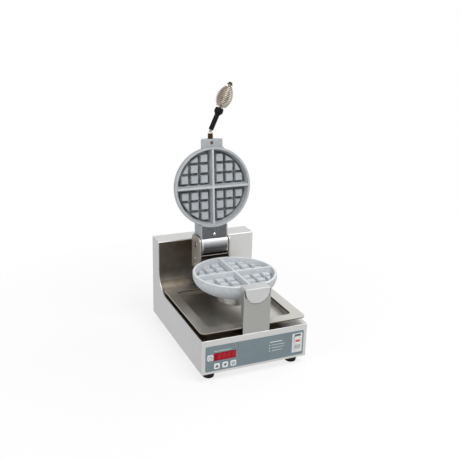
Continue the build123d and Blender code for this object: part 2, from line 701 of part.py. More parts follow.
# Hollow shaft of the rotor: spigot in the yoke, flange, journal and ring groove
RING_AT = BEARING_L + YOKE_GAP + SHEET + FIT
with BuildPart() as rotor_shaft:
    with BuildSketch(SHAFT.offset(YOKE_T)):
        Circle(SHAFT_R)
    extrude(amount=-YOKE_T - RING_AT - 3 * RING_T)
    with BuildSketch(SHAFT):
        Circle(SHAFT_FLANGE_R)
    extrude(amount=-SHAFT_FLANGE_T)
    with BuildSketch(SHAFT.offset(-RING_AT)):
        Circle(SHAFT_R + 1)
        Circle(SHAFT_R - GROOVE_D, mode=Mode.SUBTRACT)
    extrude(amount=-RING_T - 2 * RUN, mode=Mode.SUBTRACT)
    with BuildSketch(SHAFT.offset(YOKE_T + 1)):
        Circle(SHAFT_BORE_R)
    extrude(amount=-DEPTH / 2, mode=Mode.SUBTRACT)
save(rotor_shaft, "rotor_shaft")

with BuildPart() as shaft_ring:
    with BuildSketch(SHAFT.offset(-RING_AT - RUN)):
        Circle(SHAFT_R + RING_W)
        Circle(SHAFT_R - GROOVE_D + SEAT, mode=Mode.SUBTRACT)
        with Locations((0, -SHAFT_R)):
            Rectangle(SHAFT_R * 0.4, SHAFT_R, mode=Mode.SUBTRACT)
    extrude(amount=-RING_T)
save(shaft_ring, "shaft_ring")

# Yoke: two cheeks joined by a back plate, which the open lid leans on
CHEEK_TOP = HINGE.origin.Z + YOKE_TOP
CHEEK_LOW = Z_PART - YOKE_BOTTOM
YOKE_FRONT = YOKE_BACK - YOKE_D
ARM_Z = Z_PART - ARM_DROP - ARM_H / 2
ARM_SCREW_Y = YOKE_FRONT + YOKE_D * 0.58
with BuildPart() as yoke_bracket:
    with BuildSketch(Plane.YZ.offset(CHEEK_X)):
        with Locations(((YOKE_FRONT + YOKE_BACK) / 2, (CHEEK_TOP + CHEEK_LOW) / 2)):
            Rectangle(YOKE_D, CHEEK_TOP - CHEEK_LOW)
    cheek = extrude(amount=YOKE_T)
    fillet(cheek.edges().filter_by(Axis.X).group_by(Axis.Z)[-1], CHEEK_ROUND)
    fillet(yoke_bracket.edges().filter_by(Axis.X).group_by(Axis.Z)[0].sort_by(Axis.Y)[0], CHEEK_FOOT_ROUND)
    mirror(about=Plane.YZ)
    with BuildSketch(SHAFT):
        with Locations((0, (HINGE.origin.Z + STOP_H + CHEEK_LOW) / 2 - Z_PART)):
            Rectangle(2 * CHEEK_X, HINGE.origin.Z + STOP_H - CHEEK_LOW)
    extrude(amount=YOKE_T)
    with BuildSketch(SHAFT):
        Circle(SHAFT_R + SEAT)
    extrude(amount=2 * YOKE_T, mode=Mode.SUBTRACT)
    with BuildSketch(HINGE):
        Circle(PIN_D / 2 + SEAT)
        with Locations((PIN_D * 0.8, 4.2), (PIN_D * 0.8, -4.2)):
            Circle(SCREW_R * 0.8)
    extrude(amount=2 * CHEEK_X, both=True, mode=Mode.SUBTRACT)
    with BuildSketch(Plane.YZ):
        with Locations((ARM_SCREW_Y, ARM_Z + ARM_H / 4), (ARM_SCREW_Y, ARM_Z - ARM_H / 4)):
            Circle(1.5 * SCREW_R + SEAT)
    extrude(amount=2 * CHEEK_X, both=True, mode=Mode.SUBTRACT)
save(yoke_bracket, "yoke_bracket")

# Cover strip across the front of the yoke, under the hinge drum
with BuildPart() as yoke_strip:
    with BuildSketch(section(LOW).offset(-(YOKE_FRONT + STRIP_IN - Y_CAST))):
        with Locations((0, -(STRIP_DROP + ARM_DROP) / 2)):
            Rectangle(2 * CHEEK_X, ARM_DROP - STRIP_DROP)
    extrude(amount=-STRIP_T)
save(yoke_strip, "yoke_strip")

# Hinge pin, held by rings outside the cheeks
PIN_OUT = CHEEK_X + YOKE_T
with BuildPart() as hinge_pin:
    with BuildSketch(HINGE):
        Circle(PIN_D / 2)
    extrude(amount=PIN_OUT + PIN_PROUD, both=True)
    chamfer(hinge_pin.edges().group_by(Axis.X)[0], PIN_EDGE)
    chamfer(hinge_pin.edges().group_by(Axis.X)[-1], PIN_EDGE)
save(hinge_pin, "hinge_pin")


# Bowl shared by both castings: straight lip, elliptical dome, heater pocket
with BuildPart() as bowl:
    with BuildSketch(Plane.XZ):
        with BuildLine():
            dome = EllipticalCenterArc(
                (DOME_FLAT_R, -RIM_H),
                RIM_R - DOME_FLAT_R,
                DOME_D - RIM_H,
                start_angle=270,
                arc_size=90,
            )
            Polyline(dome @ 1, (RIM_R, 0), (0, 0), (0, -DOME_D), dome @ 0)
        bowl_face = make_face()
        fillet(bowl_face.vertices().sort_by_distance((RIM_R, 0))[0], RIM_ROUND)
    revolve(axis=Axis.Z)

# Heater pocket, cut from below
with BuildPart() as heater_pocket:
    with BuildSketch(Plane.XY.offset(-DOME_D - 1)):
        Circle(POCKET_R)
    extrude(amount=DOME_D + 1 - POCKET_CEILING, taper=3)

# Half a waffle: four quarters with drafted walls, less the drafted pegs
WALL_RUN = CAVITY_D * tan(radians(DRAFT))
PEG_SPOTS = [BAR_W / 2 + WALL_RUN + FOOT_GAP + PEG / 2 + PEG_PITCH * n for n in range(PEGS)]
SPOTS = [s * p for p in PEG_SPOTS for s in (-1, 1)]
PEG_TRIM_R = CAVITY_R - WALL_RUN - FOOT_GAP
with BuildPart() as pegs:
    with BuildSketch(Plane.XY.offset(-CAVITY_D)):
        with Locations(*[(x, y) for x in SPOTS for y in SPOTS if x * x + y * y < CAVITY_R**2]):
            Rectangle(PEG, PEG)
    extrude(amount=PEG_H, taper=DRAFT)
    with BuildSketch(Plane.XY.offset(-CAVITY_D)):
        Circle(PEG_TRIM_R)
    extrude(amount=PEG_H, taper=DRAFT, mode=Mode.INTERSECT)
with BuildPart() as half_waffle:
    with BuildSketch():
        Circle(CAVITY_R)
        Rectangle(3 * CAVITY_R, BAR_W, mode=Mode.SUBTRACT)
        Rectangle(BAR_W, 3 * CAVITY_R, mode=Mode.SUBTRACT)
    extrude(amount=-CAVITY_D, taper=DRAFT)
    add(pegs.part, mode=Mode.SUBTRACT)

# Lower casting: bowl, front trunnion and the arm that is held between the cheeks
BOSS_IN = CAVITY_R - BOSS_ROOT
ARM_ROOT = Y_CAST + RIM_R - ARM_IN
ARM_TIP = YOKE_BACK - YOKE_T - ARM_END
RISE_IN = RIM_R - RIM_ROUND + FIT
with BuildPart() as lower_casting:
    with Locations(LOW):
        add(bowl.part)
    with BuildSketch(section(LOW).offset(BOSS_IN)):
        Circle(BOSS_R)
        with Locations((0, BOSS_R)):
            Rectangle(3 * BOSS_R, 2 * BOSS_R, mode=Mode.SUBTRACT)
    extrude(amount=BOSS_REACH - BOSS_IN)
    with BuildSketch(section(LOW).offset(RISE_IN)):
        with Locations((0, BOSS_RISE / 2)):
            Rectangle(2 * BOSS_R, BOSS_RISE)
    extrude(amount=BOSS_REACH - RISE_IN)
    fillet(lower_casting.edges().group_by(Axis.Y)[0], BOSS_ROUND)
    with BuildSketch(Plane.YZ):
        with Locations(((ARM_TIP + ARM_ROOT) / 2, ARM_Z)):
            Rectangle(ARM_TIP - ARM_ROOT, ARM_H)
    arm = extrude(amount=CHEEK_X, both=True)
    fillet(arm.edges().filter_by(Axis.X).sort_by(Axis.Y)[-2:], ARM_ROUND)
    with Locations(LOW):
        add(half_waffle.part, mode=Mode.SUBTRACT)
        add(heater_pocket.part, mode=Mode.SUBTRACT)
    with BuildSketch(Plane.YZ):
        with Locations((ARM_SCREW_Y, ARM_Z + ARM_H / 4), (ARM_SCREW_Y, ARM_Z - ARM_H / 4)):
            Circle(SCREW_R + SEAT)
    extrude(amount=2 * CHEEK_X, both=True, mode=Mode.SUBTRACT)
save(lower_casting, "lower_casting")

with BuildPart() as yoke_screws:
    for turn in (1, -1):
        for z in (ARM_Z + ARM_H / 4, ARM_Z - ARM_H / 4):
            with Locations(Plane((turn * PIN_OUT, ARM_SCREW_Y, z), x_dir=(0, 1, 0), z_dir=(turn, 0, 0))):
                add(pan_screw(SCREW_R, YOKE_T + 12, 1.9))
save(yoke_screws, "yoke_screws")

# Upper casting: the same bowl with a shorter trunnion and a channelled neck
NECK_BACK = LID.to_local_coords(Vector(0, YOKE_BACK - YOKE_T - FIT, HINGE.origin.Z + STOP_H)).Z
TAB_STEP = BOSS_RISE + FIT
CHANNEL_W = NECK_W - 2 * NECK_WALL
REBATE_W = NECK_W - NECK_WALL
with BuildPart() as upper_casting:
    with Locations(LID):
        add(bowl.part)
    with BuildSketch(section(LID).offset(-BOSS_IN)):
        Circle(BOSS_R)
        with Locations((0, BOSS_R)):
            Rectangle(3 * BOSS_R, 2 * BOSS_R, mode=Mode.SUBTRACT)
    extrude(amount=-(TAB_REACH - BOSS_IN))
    with BuildSketch(section(LID).offset(-RISE_IN + FIT)):
        Rectangle(3 * BOSS_R, 2 * TAB_STEP)
    extrude(amount=-(TAB_REACH - RISE_IN) - 1, mode=Mode.SUBTRACT)
    fillet(upper_casting.edges().group_by(Axis.Z)[-1], BOSS_ROUND)
    with BuildSketch(profile(LID)):
        with BuildLine():
            Polyline(
                (-CAVITY_R - 1, 0),
                (-NECK_END, 0),
                (-NECK_END, NECK_BACK),
                (-DOME_FLAT_R - 12, -DOME_D + 1),
                (-DOME_FLAT_R - 12, -CAVITY_D - 4),
                (-CAVITY_R - 1, -CAVITY_D - 4),
                close=True,
            )
        make_face()
    extrude(amount=NECK_W / 2, both=True)
    with BuildSketch(HINGE):
        Circle(DRUM_R + RUN)
    extrude(amount=NECK_W, both=True, mode=Mode.SUBTRACT)
    with BuildSketch(profile(LID)):
        with Locations((-(NECK_START + NECK_END) / 2, (NECK_BACK + NECK_WALL) / 2)):
            Rectangle(NECK_END - NECK_START, -(NECK_BACK + NECK_WALL))
    extrude(amount=CHANNEL_W / 2, both=True, mode=Mode.SUBTRACT)
    with BuildSketch(profile(LID)):
        with Locations((-(COVER_START + NECK_END) / 2, -COVER_T / 2)):
            Rectangle(NECK_END - COVER_START, COVER_T)
    extrude(amount=REBATE_W / 2, both=True, mode=Mode.SUBTRACT)
    with BuildSketch(LID):
        Circle(RIM_R + COVER_GAP - SEAT)
        with Locations((0, -RIM_R)):
            Rectangle(REBATE_W, 2 * RIM_R, mode=Mode.INTERSECT)
    extrude(amount=-2 * COVER_T)
    with Locations(LID):
        add(half_waffle.part, mode=Mode.SUBTRACT)
        add(heater_pocket.part, mode=Mode.SUBTRACT)
    with BuildSketch(section(LID).offset(-TAB_REACH - 1)):
        with Locations((0, -HANDLE_DROP)):
            Circle(ROD_R + SEAT)
    extrude(amount=ROD_IN + 1 + ROD_PLAY, mode=Mode.SUBTRACT)
    with BuildSketch(LID):
        with Locations((0, TAB_REACH - TAB_SCREW_IN)):
            Circle(TAB_SCREW_R + SEAT)
    extrude(amount=-HANDLE_DROP + ROD_R, mode=Mode.SUBTRACT)
save(upper_casting, "upper_casting")

# Cover over the wiring channel in the neck, its edge following the hinge drum
with BuildPart() as neck_cover:
    with BuildSketch(profile(LID)):
        with Locations((-(COVER_START + NECK_END) / 2, -COVER_T / 2)):
            Rectangle(NECK_END - COVER_START, COVER_T)
    extrude(amount=REBATE_W / 2 - SEAT, both=True)
    with BuildSketch(LID):
        Circle(RIM_R + COVER_GAP)
    extrude(amount=-2 * COVER_T, mode=Mode.SUBTRACT)
    with BuildSketch(HINGE):
        Circle(DRUM_R + RUN)
    extrude(amount=NECK_W, both=True, mode=Mode.SUBTRACT)
    with BuildSketch(LID):
        with Locations((0, -(NECK_START + COVER_SCREW_IN))):
            Circle(SCREW_R + SEAT)
    extrude(amount=-2 * COVER_T, mode=Mode.SUBTRACT)
save(neck_cover, "neck_cover")

with BuildPart() as neck_cover_screw:
    spot = LID.from_local_coords((0, -(NECK_START + COVER_SCREW_IN), 0))
    with Locations(Plane(spot, x_dir=LID.x_dir, z_dir=LID.z_dir)):
        add(pan_screw(SCREW_R, 3 * COVER_T))
save(neck_cover_screw, "neck_cover_screw")

# Hinge drum: polished tube with end rings, turning on the pin
DRUM_L = NECK_W - 2 * DRUM_CAP
with BuildPart() as hinge_drum:
    with BuildSketch(HINGE):
        Circle(DRUM_R)
        Circle(DRUM_R - DRUM_WALL, mode=Mode.SUBTRACT)
    extrude(amount=DRUM_L / 2, both=True)
save(hinge_drum, "hinge_drum")

for side, turn in (("left", -1), ("right", 1)):
    with BuildPart() as drum_cap:
        cap_plane = Plane(
            HINGE.from_local_coords((0, 0, turn * DRUM_L / 2)), x_dir=(0, 1, 0), z_dir=(turn, 0, 0)
        )
        with BuildSketch(cap_plane):
            Circle(DRUM_R - RUN)
        extrude(amount=DRUM_CAP)
        chamfer(drum_cap.edges().group_by(Axis.X)[-1 if turn > 0 else 0], DRUM_CAP_EDGE)
        with BuildSketch(cap_plane):
            Circle(DRUM_R - DRUM_WALL - SEAT)
        extrude(amount=-DRUM_CAP)
        with BuildSketch(cap_plane):
            Circle(PIN_D / 2 + RUN)
        extrude(amount=2 * DRUM_CAP, both=True, mode=Mode.SUBTRACT)
    save(drum_cap, "drum_cap_" + side)

# Ring heaters against the roof of each pocket, and the steel cans that close them
for frame, name in ((LOW, "lower"), (LID, "upper")):
    with BuildPart() as heater:
        with BuildSketch(frame.offset(-POCKET_CEILING)):
            Circle(HEATER_R + HEATER_W / 2)
            Circle(HEATER_R - HEATER_W / 2, mode=Mode.SUBTRACT)
            with Locations((0, -HEATER_R)):
                Rectangle(HEATER_W * 0.4, 2 * HEATER_W, mode=Mode.SUBTRACT)
        extrude(amount=-HEATER_T)
    save(heater, name + "_heater")
    with BuildPart() as can:
        with BuildSketch(frame.offset(-DOME_D)):
            Circle(CAN_R)
        extrude(amount=-CAN_H)
        fillet(can.edges().sort_by(Axis(frame.origin, frame.z_dir))[0], CAN_ROUND)
        mouth = can.faces().sort_by(Axis(frame.origin, frame.z_dir))[-1]
        offset(amount=-CAN_SHEET, openings=mouth)
        with BuildSketch(frame.offset(-DOME_D)):
            Circle(CAN_R + CAN_FLANGE)
            Circle(CAN_R - CAN_SHEET, mode=Mode.SUBTRACT)
        extrude(amount=-CAN_SHEET)
        with BuildSketch(frame.offset(-DOME_D)):
            with PolarLocations(CAN_R + CAN_FLANGE / 2, 4, start_angle=45):
                Circle(SCREW_R * 0.75 + SEAT)
        extrude(amount=-2 * CAN_SHEET, mode=Mode.SUBTRACT)
    save(can, name + "_heater_can")

# Handle: hexagon nut, collar and bent rod screwed into the upper trunnion
HANDLE = Plane(LID.from_local_coords((0, BEND_AT, -HANDLE_DROP)), x_dir=LID.x_dir, z_dir=LID.y_dir)
GRIP_DIR = LID.x_dir * sin(radians(HANDLE_LEAN)) + LID.y_dir * cos(radians(HANDLE_LEAN))
GRIP = Plane(HANDLE.origin, x_dir=LID.z_dir, z_dir=GRIP_DIR)
STUB = HANDLE.offset(-(BEND_AT - TAB_REACH))
FERRULE_AT = SLEEVE_AT + SLEEVE_L
COIL_AT = FERRULE_AT + FERRULE_L
NUT_AT = COIL_AT + COIL_L
with BuildPart() as handle_stub:
    with BuildSketch(STUB):
        RegularPolygon(STUB_AF / 2, 6, major_radius=False)
        Circle(ROD_R + SEAT, mode=Mode.SUBTRACT)
    extrude(amount=STUB_L)
save(handle_stub, "handle_stub")

with BuildPart() as handle_collar:
    with BuildSketch(STUB.offset(STUB_L)):
        Circle(STUB_AF / 2)
        Circle(ROD_R + SEAT, mode=Mode.SUBTRACT)
    extrude(amount=COLLAR_L)
save(handle_collar, "handle_collar")

with BuildPart() as handle_rod:
    with BuildLine() as rod_line:
        FilletPolyline(
            STUB.offset(-ROD_IN).origin,
            HANDLE.origin,
            GRIP.from_local_coords((0, 0, NUT_AT + 0.6 * NUT_L)),
            radius=ROD_BEND,
        )
    with BuildSketch(STUB.offset(-ROD_IN)):
        Circle(ROD_R)
    sweep()
save(handle_rod, "handle_rod")

with BuildPart() as tab_screw:
    with BuildSketch(LID.offset(-TAB_STEP)):
        with Locations((0, TAB_REACH - TAB_SCREW_IN)):
            Circle(TAB_SCREW_R)
    extrude(amount=TAB_STEP - HANDLE_DROP + ROD_R + FIT)
    with BuildSketch(LID.offset(-TAB_STEP)):
        with Locations((0, TAB_REACH - TAB_SCREW_IN)):
            RegularPolygon(TAB_SCREW_R * 0.5, 6)
    extrude(amount=-TAB_SCREW_R * 0.5, mode=Mode.SUBTRACT)
    chamfer(tab_screw.edges().filter_by(GeomType.CIRCLE).sort_by_distance(LID.origin)[0], SEAT * 10)
save(tab_screw, "tab_screw")

with BuildPart() as handle_sleeve:
    with BuildSketch(GRIP.offset(SLEEVE_AT)):
        Circle(SLEEVE_R)
        Circle(ROD_R + SEAT, mode=Mode.SUBTRACT)
    extrude(amount=SLEEVE_L)
    chamfer(handle_sleeve.edges().filter_by(GeomType.CIRCLE).sort_by(SortBy.RADIUS)[-2:], 1.0)
save(handle_sleeve, "handle_sleeve")

# Ferrule: black bell that widens to carry the coil
with BuildPart() as handle_ferrule:
    with BuildSketch(section(GRIP)):
        with BuildLine():
            flare = Spline(
                (SLEEVE_R, FERRULE_AT),
                (FERRULE_R, FERRULE_AT + FERRULE_L * 0.55),
                tangents=[(0.35, 1), (0, 1)],
            )
            Polyline(
                flare @ 1,
                (FERRULE_R * 0.9, COIL_AT),
                (ROD_R + SEAT, COIL_AT),
                (ROD_R + SEAT, FERRULE_AT),
                flare @ 0,
            )
        make_face()
    revolve(axis=Axis(GRIP.origin, GRIP.z_dir))
save(handle_ferrule, "handle_ferrule")

with BuildPart() as grip_nut:
    with BuildSketch(GRIP.offset(NUT_AT)):
        Circle(COIL_TIP_R + COIL_WIRE / 2)
    extrude(amount=WASHER_T)
    with BuildSketch(GRIP.offset(NUT_AT + WASHER_T)):
        RegularPolygon(NUT_R, 6)
    extrude(amount=NUT_L - WASHER_T)
    fillet(grip_nut.edges().sort_by(Axis(GRIP.origin, GRIP.z_dir))[-6:], 0.8)
    with BuildSketch(GRIP.offset(NUT_AT)):
        Circle(ROD_R + SEAT)
    extrude(amount=0.6 * NUT_L + SEAT, mode=Mode.SUBTRACT)
save(grip_nut, "grip_nut")

# Coil grip: one wire wound into a barrel, each half turn joined by two tangent arcs.
# Radius of the winding at a share t of its length:
# r(t) = end(t) + (max - end(t)) * sin(pi * t ** 0.85) ** 0.75, end(t) running from foot to tip
HALVES = 2 * COIL_TURNS
WIRE_BEND = 1.1 * COIL_WIRE
WOUND_L = COIL_L - 2 * (COIL_END + WIRE_BEND)


def coil_point(t):
    turn = -2 * pi * COIL_TURNS * t
    swell = sin(pi * min(max(t, 0.0), 1.0) ** 0.85)
    end_r = COIL_FOOT_R + (COIL_TIP_R - COIL_FOOT_R) * t
    r = end_r + (COIL_MAX_R - end_r) * max(swell, 0.0) ** 0.75
    along = COIL_AT + COIL_END + WIRE_BEND + WOUND_L * t
    return GRIP.from_local_coords((r * cos(turn), r * sin(turn), along))


def coil_tangent(t):
    step = 0.02 / COIL_TURNS
    low = max(t - step, 0.0)
    high = min(t + step, 1.0)
    return (coil_point(high) - coil_point(low)).normalized()


def biarc_joint(p0, t0, p1, t1):
    # point where two arcs, tangent to t0 at p0 and to t1 at p1, meet with equal handles
    v = p1 - p0
    t = t0 + t1
    a = 2 * (1 - t0.dot(t1))
    b = 2 * v.dot(t)
    c = -v.dot(v)
    if abs(a) < 1e-9:
        d = -c / b
    else:
        d = (-b + sqrt(b * b - 4 * a * c)) / (2 * a)
    return (p0 + t0 * d + p1 - t1 * d) * 0.5, d


stations = [(coil_point(n / HALVES), coil_tangent(n / HALVES)) for n in range(HALVES + 1)]
first = GRIP.from_local_coords((COIL_FOOT_R, WIRE_BEND, COIL_AT + COIL_END))
last = GRIP.from_local_coords((COIL_TIP_R, -WIRE_BEND, NUT_AT - COIL_END))
stations = [(first, GRIP.z_dir)] + stations + [(last, GRIP.z_dir)]
with BuildPart() as coil_grip:
    with BuildLine() as coil_line:
        Line(first - GRIP.z_dir * COIL_END, first)
        for (p0, t0), (p1, t1) in zip(stations, stations[1:]):
            joint, handle = biarc_joint(p0, t0, p1, t1)
            lead = TangentArc(p0, joint, tangent=t0)
            TangentArc(joint, p1, tangent=lead % 1)
        Line(last, last + GRIP.z_dir * COIL_END)
    with BuildSketch(Plane(first - GRIP.z_dir * COIL_END, z_dir=GRIP.z_dir)):
        Circle(COIL_WIRE / 2)
    sweep()
save(coil_grip, "coil_grip")

# Least gap of the wire to itself, measured on points along its centre line
coil_wire = coil_line.wire()
SAMPLES = 60 * COIL_TURNS
spots = [coil_wire @ (n / SAMPLES) for n in range(SAMPLES + 1)]
reach = int(SAMPLES * 0.45 / COIL_TURNS)
least = min(
    (spots[i] - spots[j]).length
    for i in range(len(spots))
    for j in range(i + reach, min(len(spots), i + 4 * reach))
)
print("coil grip: least gap of the wire to itself", round(least - COIL_WIRE, 2), "mm")
volume = pi * COIL_WIRE**2 / 4 * coil_wire.length
print("coil grip: volume over section times length", round(coil_grip.part.volume / volume, 4))
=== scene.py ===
import math

import bpy
import numpy as np
from bpy.props import FloatProperty, FloatVectorProperty, PointerProperty, StringProperty
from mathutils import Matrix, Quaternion, Vector


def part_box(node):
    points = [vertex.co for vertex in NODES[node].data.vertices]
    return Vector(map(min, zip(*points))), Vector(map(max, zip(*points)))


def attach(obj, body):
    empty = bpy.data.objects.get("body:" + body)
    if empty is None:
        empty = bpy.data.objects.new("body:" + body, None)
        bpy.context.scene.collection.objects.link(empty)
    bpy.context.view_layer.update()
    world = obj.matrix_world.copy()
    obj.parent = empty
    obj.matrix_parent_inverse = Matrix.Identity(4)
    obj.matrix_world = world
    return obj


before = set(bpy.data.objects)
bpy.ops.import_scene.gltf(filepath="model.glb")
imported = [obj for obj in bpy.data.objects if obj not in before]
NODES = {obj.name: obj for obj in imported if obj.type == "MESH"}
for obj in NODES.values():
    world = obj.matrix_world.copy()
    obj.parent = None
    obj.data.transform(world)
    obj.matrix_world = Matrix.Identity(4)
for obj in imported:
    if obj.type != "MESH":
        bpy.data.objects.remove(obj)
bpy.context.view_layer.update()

bl_info = {
    "name": "Waffle Baker Finishes",
    "version": (1, 0, 0),
    "blender": (4, 5, 0),
    "location": "3D View > Sidebar > Waffle Baker",
    "description": "Finishes, markings and studio for a countertop waffle baker",
    "category": "Object",
}


def middle(node):
    """The centre of a node's box at rest, in metres."""
    low, high = (np.array(corner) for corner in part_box(node))
    return (low + high) / 2


def node_points(node_name):
    """A CAD node's points at rest, in metres."""
    mesh = NODES[node_name].data
    points = np.empty(len(mesh.vertices) * 3)
    mesh.vertices.foreach_get("co", points)
    return points.reshape(-1, 3)


def cluster(values, gap):
    """Means of the groups that sorted values form where neighbours lie closer than gap."""
    values = np.sort(values)
    return [part.mean() for part in np.split(values, np.flatnonzero(np.diff(values) > gap) + 1)]


X, Y, Z = 0, 1, 2
# The lid stands open at rest, leaning back by LEAN from upright. LID_OUT points out of its baking face.
LEAN = math.radians(5.0)
LID_UP = np.array([0.0, math.sin(LEAN), math.cos(LEAN)])
LID_OUT = np.array([0.0, -math.cos(LEAN), math.sin(LEAN)])
# Places at rest, in metres: the hinge pin's height, the yoke strip's upper edge, the middles of both baking faces,
# and how deep their grooves are
HINGE_Z = 0.2172
STRIP_TOP = 0.1960
LID_MID = np.array([0.0, 0.0849, 0.3624])
LOWER_MID = np.array([0.0, -0.052, 0.1972])
GRID_DEPTH = 0.017


# -------- sizes and colours

COLOUR = {"subtype": "COLOR", "size": 3, "min": 0.0, "max": 1.0}
SHARE = {"subtype": "FACTOR", "min": 0.0, "max": 1.0}
LENGTH = {"subtype": "DISTANCE", "unit": "LENGTH"}
ANGLE = {"subtype": "ANGLE", "unit": "ROTATION"}


class BakerSheet(bpy.types.PropertyGroup):
    """Bent stainless sheet"""
    tone: FloatVectorProperty(name="Sheet colour", description="Bare stainless steel",
                              default=(0.54, 0.54, 0.545), **COLOUR)
    shade: FloatVectorProperty(name="Deep colour", description="Darkest streaks of the steel",
                               default=(0.38, 0.375, 0.365), **COLOUR)
    # Painted reflection and shade: this brown darkens the splash, the deck under the tray and the pan
    brown: FloatVectorProperty(name="Shade colour", description="Painted reflection and shade on the steel",
                               default=(0.068, 0.052, 0.030), **COLOUR)
    grain: FloatProperty(name="Grain", description="How strongly the brushing shows", default=0.35, **SHARE)
    roughness: FloatProperty(name="Roughness", description="Roughness of the brushed face", default=0.30, **SHARE)


class BakerCasting(bpy.types.PropertyGroup):
    """Cast baking grids"""
    tone: FloatVectorProperty(name="Casting colour", description="Coated cast aluminium",
                              default=(0.435, 0.460, 0.480), **COLOUR)
    # Film and painted shade: the grooves' colour stands for the film in them and the shade that falls into them
    groove_film_and_shade: FloatVectorProperty(name="Groove colour", description="Baked-on film and painted shade in the grooves",
                               default=(0.030, 0.032, 0.036), **COLOUR)
    pore: FloatProperty(name="Pore size", description="Width of the sand grain in the skin", default=0.0011,
                        min=0.0002, max=0.01, **LENGTH)
    roughness: FloatProperty(name="Roughness", description="Roughness of the casting skin", default=0.55, **SHARE)


class BakerPanel(bpy.types.PropertyGroup):
    """Control panel markings"""
    film: FloatVectorProperty(name="Film colour", description="Printed film", default=(0.166, 0.222, 0.246), **COLOUR)
    ink: FloatVectorProperty(name="Ink colour", description="Light print on the film",
                             default=(0.80, 0.83, 0.83), **COLOUR)
    glow: FloatVectorProperty(name="Digit colour", description="Unlit digits behind the filter",
                              default=(0.50, 0.03, 0.05), **COLOUR)
    number: StringProperty(name="Number", description="Digits shown in the window", default="8888")
    digit_height: FloatProperty(name="Digit height", description="Height of a digit", default=0.0112,
                                min=0.002, max=0.017, **LENGTH)
    ink_thick: FloatProperty(name="Ink thickness", description="How far a mark stands off its face", default=0.00012,
                             min=0.00002, max=0.001, **LENGTH)


class BakerStudio(bpy.types.PropertyGroup):
    """Camera and light"""
    spot: FloatVectorProperty(name="Camera place", description="Where the camera stands",
                              default=(-0.583, -1.341, 0.753), subtype="XYZ", unit="LENGTH", size=3)
    yaw: FloatProperty(name="Turn", description="Camera turn towards the right", default=math.radians(23.79), **ANGLE)
    pitch: FloatProperty(name="Dip", description="Camera dip below the horizon", default=math.radians(17.9), **ANGLE)
    roll: FloatProperty(name="Roll", description="Camera roll", default=0.024, **ANGLE)
    lens: FloatProperty(name="Lens", description="Focal length on a 36 mm sensor", default=51.65, unit="CAMERA")
    key: FloatProperty(name="Key lamp", description="Power of the key softbox", default=26.0, unit="POWER", min=0.0)
    fill: FloatProperty(name="Fill lamp", description="Power of the fill softbox", default=9.0, unit="POWER", min=0.0)
    sky: FloatProperty(name="Surround", description="Strength of the even surround light", default=0.50, min=0.0)


# -------- shapes

def mesh_piece(name, verts, faces, body, slot, material):
    """Puts arrays of points and faces into a mesh object at the origin, riding on a body."""
    mesh = bpy.data.meshes.new(name)
    mesh.from_pydata(verts.tolist(), [], faces)
    mesh.materials.append(material)
    mesh.update()
    piece = bpy.data.objects.new(name, mesh)
    bpy.context.scene.collection.objects.link(piece)
    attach(piece, body)


def join(parts):
    """Stacks (points, faces) pairs into one pair, with the face indices moved along."""
    verts, faces, start = [], [], 0
    for points, loops in parts:
        verts.append(points)
        faces += [[i + start for i in loop] for loop in loops]
        start += len(points)
    return np.vstack(verts), faces


def on_plane(outline, plane, height):
    """A 2D outline's points at a height over a plane, which is (origin, right, up, out)."""
    origin, right, up, out = (np.asarray(v, float) for v in plane)
    return origin + outline[:, :1] * right + outline[:, 1:] * up + out * height


def quads(n, a, b):
    """The quads between rings a and b of n points each."""
    i = np.arange(n)
    j = (i + 1) % n
    return np.column_stack([i + a * n, j + a * n, j + b * n, i + b * n]).tolist()


def plate(outline, plane, thick):
    """A flat plate: the outline (counter-clockwise seen from outside) on the plane and at height thick."""
    n = len(outline)
    points = np.vstack([on_plane(outline, plane, height) for height in (0, thick)])
    return points, quads(n, 0, 1) + [list(range(n, 2 * n)), list(range(n - 1, -1, -1))]


def band(outer, inner, plane, thick):
    """A flat band between two closed outlines of the same number of points: four rings joined by quads."""
    lines = (outer, 0), (outer, thick), (inner, thick), (inner, 0)
    rings = [on_plane(line, plane, height) for line, height in lines]
    return np.vstack(rings), [quad for a in range(4) for quad in quads(len(outer), a, (a + 1) % 4)]


def circle(radius, count=40, at=(0.0, 0.0)):
    """Points at equal angles: (radius cos a, radius sin a) about a middle."""
    a = np.linspace(0, 2 * np.pi, count, endpoint=False)
    return np.column_stack([np.cos(a), np.sin(a)]) * radius + at


def rounded(width, height, radius, count):
    """A rectangle's four corners, each moved in by radius and spread by (radius cos a, radius sin a)."""
    a = np.linspace(0, np.pi / 2, count)
    arc = np.column_stack([np.cos(a), np.sin(a)]) * radius
    out = []
    for quarter, (sx, sy) in enumerate(((1, 1), (-1, 1), (-1, -1), (1, -1))):
        c, s = math.cos(quarter * math.pi / 2), math.sin(quarter * math.pi / 2)
        corner = np.array([sx * (width / 2 - radius), sy * (height / 2 - radius)])
        out.append(arc @ np.array([[c, s], [-s, c]]) + corner)
    return np.vstack(out)


def bar(size, x, y):
    """A small rounded bar of (width, height, corner) moved by (x, y)."""
    return rounded(*size, 4) + (x, y)


# -------- shader parts

def node(tree, kind, **values):
    """Adds a shader node and sets its options and input defaults by name."""
    new = tree.nodes.new(kind)
    for key, value in values.items():
        if hasattr(new, key):
            setattr(new, key, value)
        else:
            new.inputs[key.replace("_", " ")].default_value = value
    return new


def feed(tree, socket, value):
    """Links a socket's value to an input, or sets it to a number."""
    if isinstance(value, bpy.types.NodeSocket):
        tree.links.new(value, socket)
    else:
        socket.default_value = value


def math_node(tree, operation, a, b):
    """A Math node fed by sockets or numbers."""
    new = node(tree, "ShaderNodeMath", operation=operation)
    feed(tree, new.inputs[0], a)
    feed(tree, new.inputs[1], b)
    return new.outputs[0]


def times(tree, *values):
    """The product of sockets and numbers."""
    product = values[0]
    for value in values[1:]:
        product = math_node(tree, "MULTIPLY", product, value)
    return product


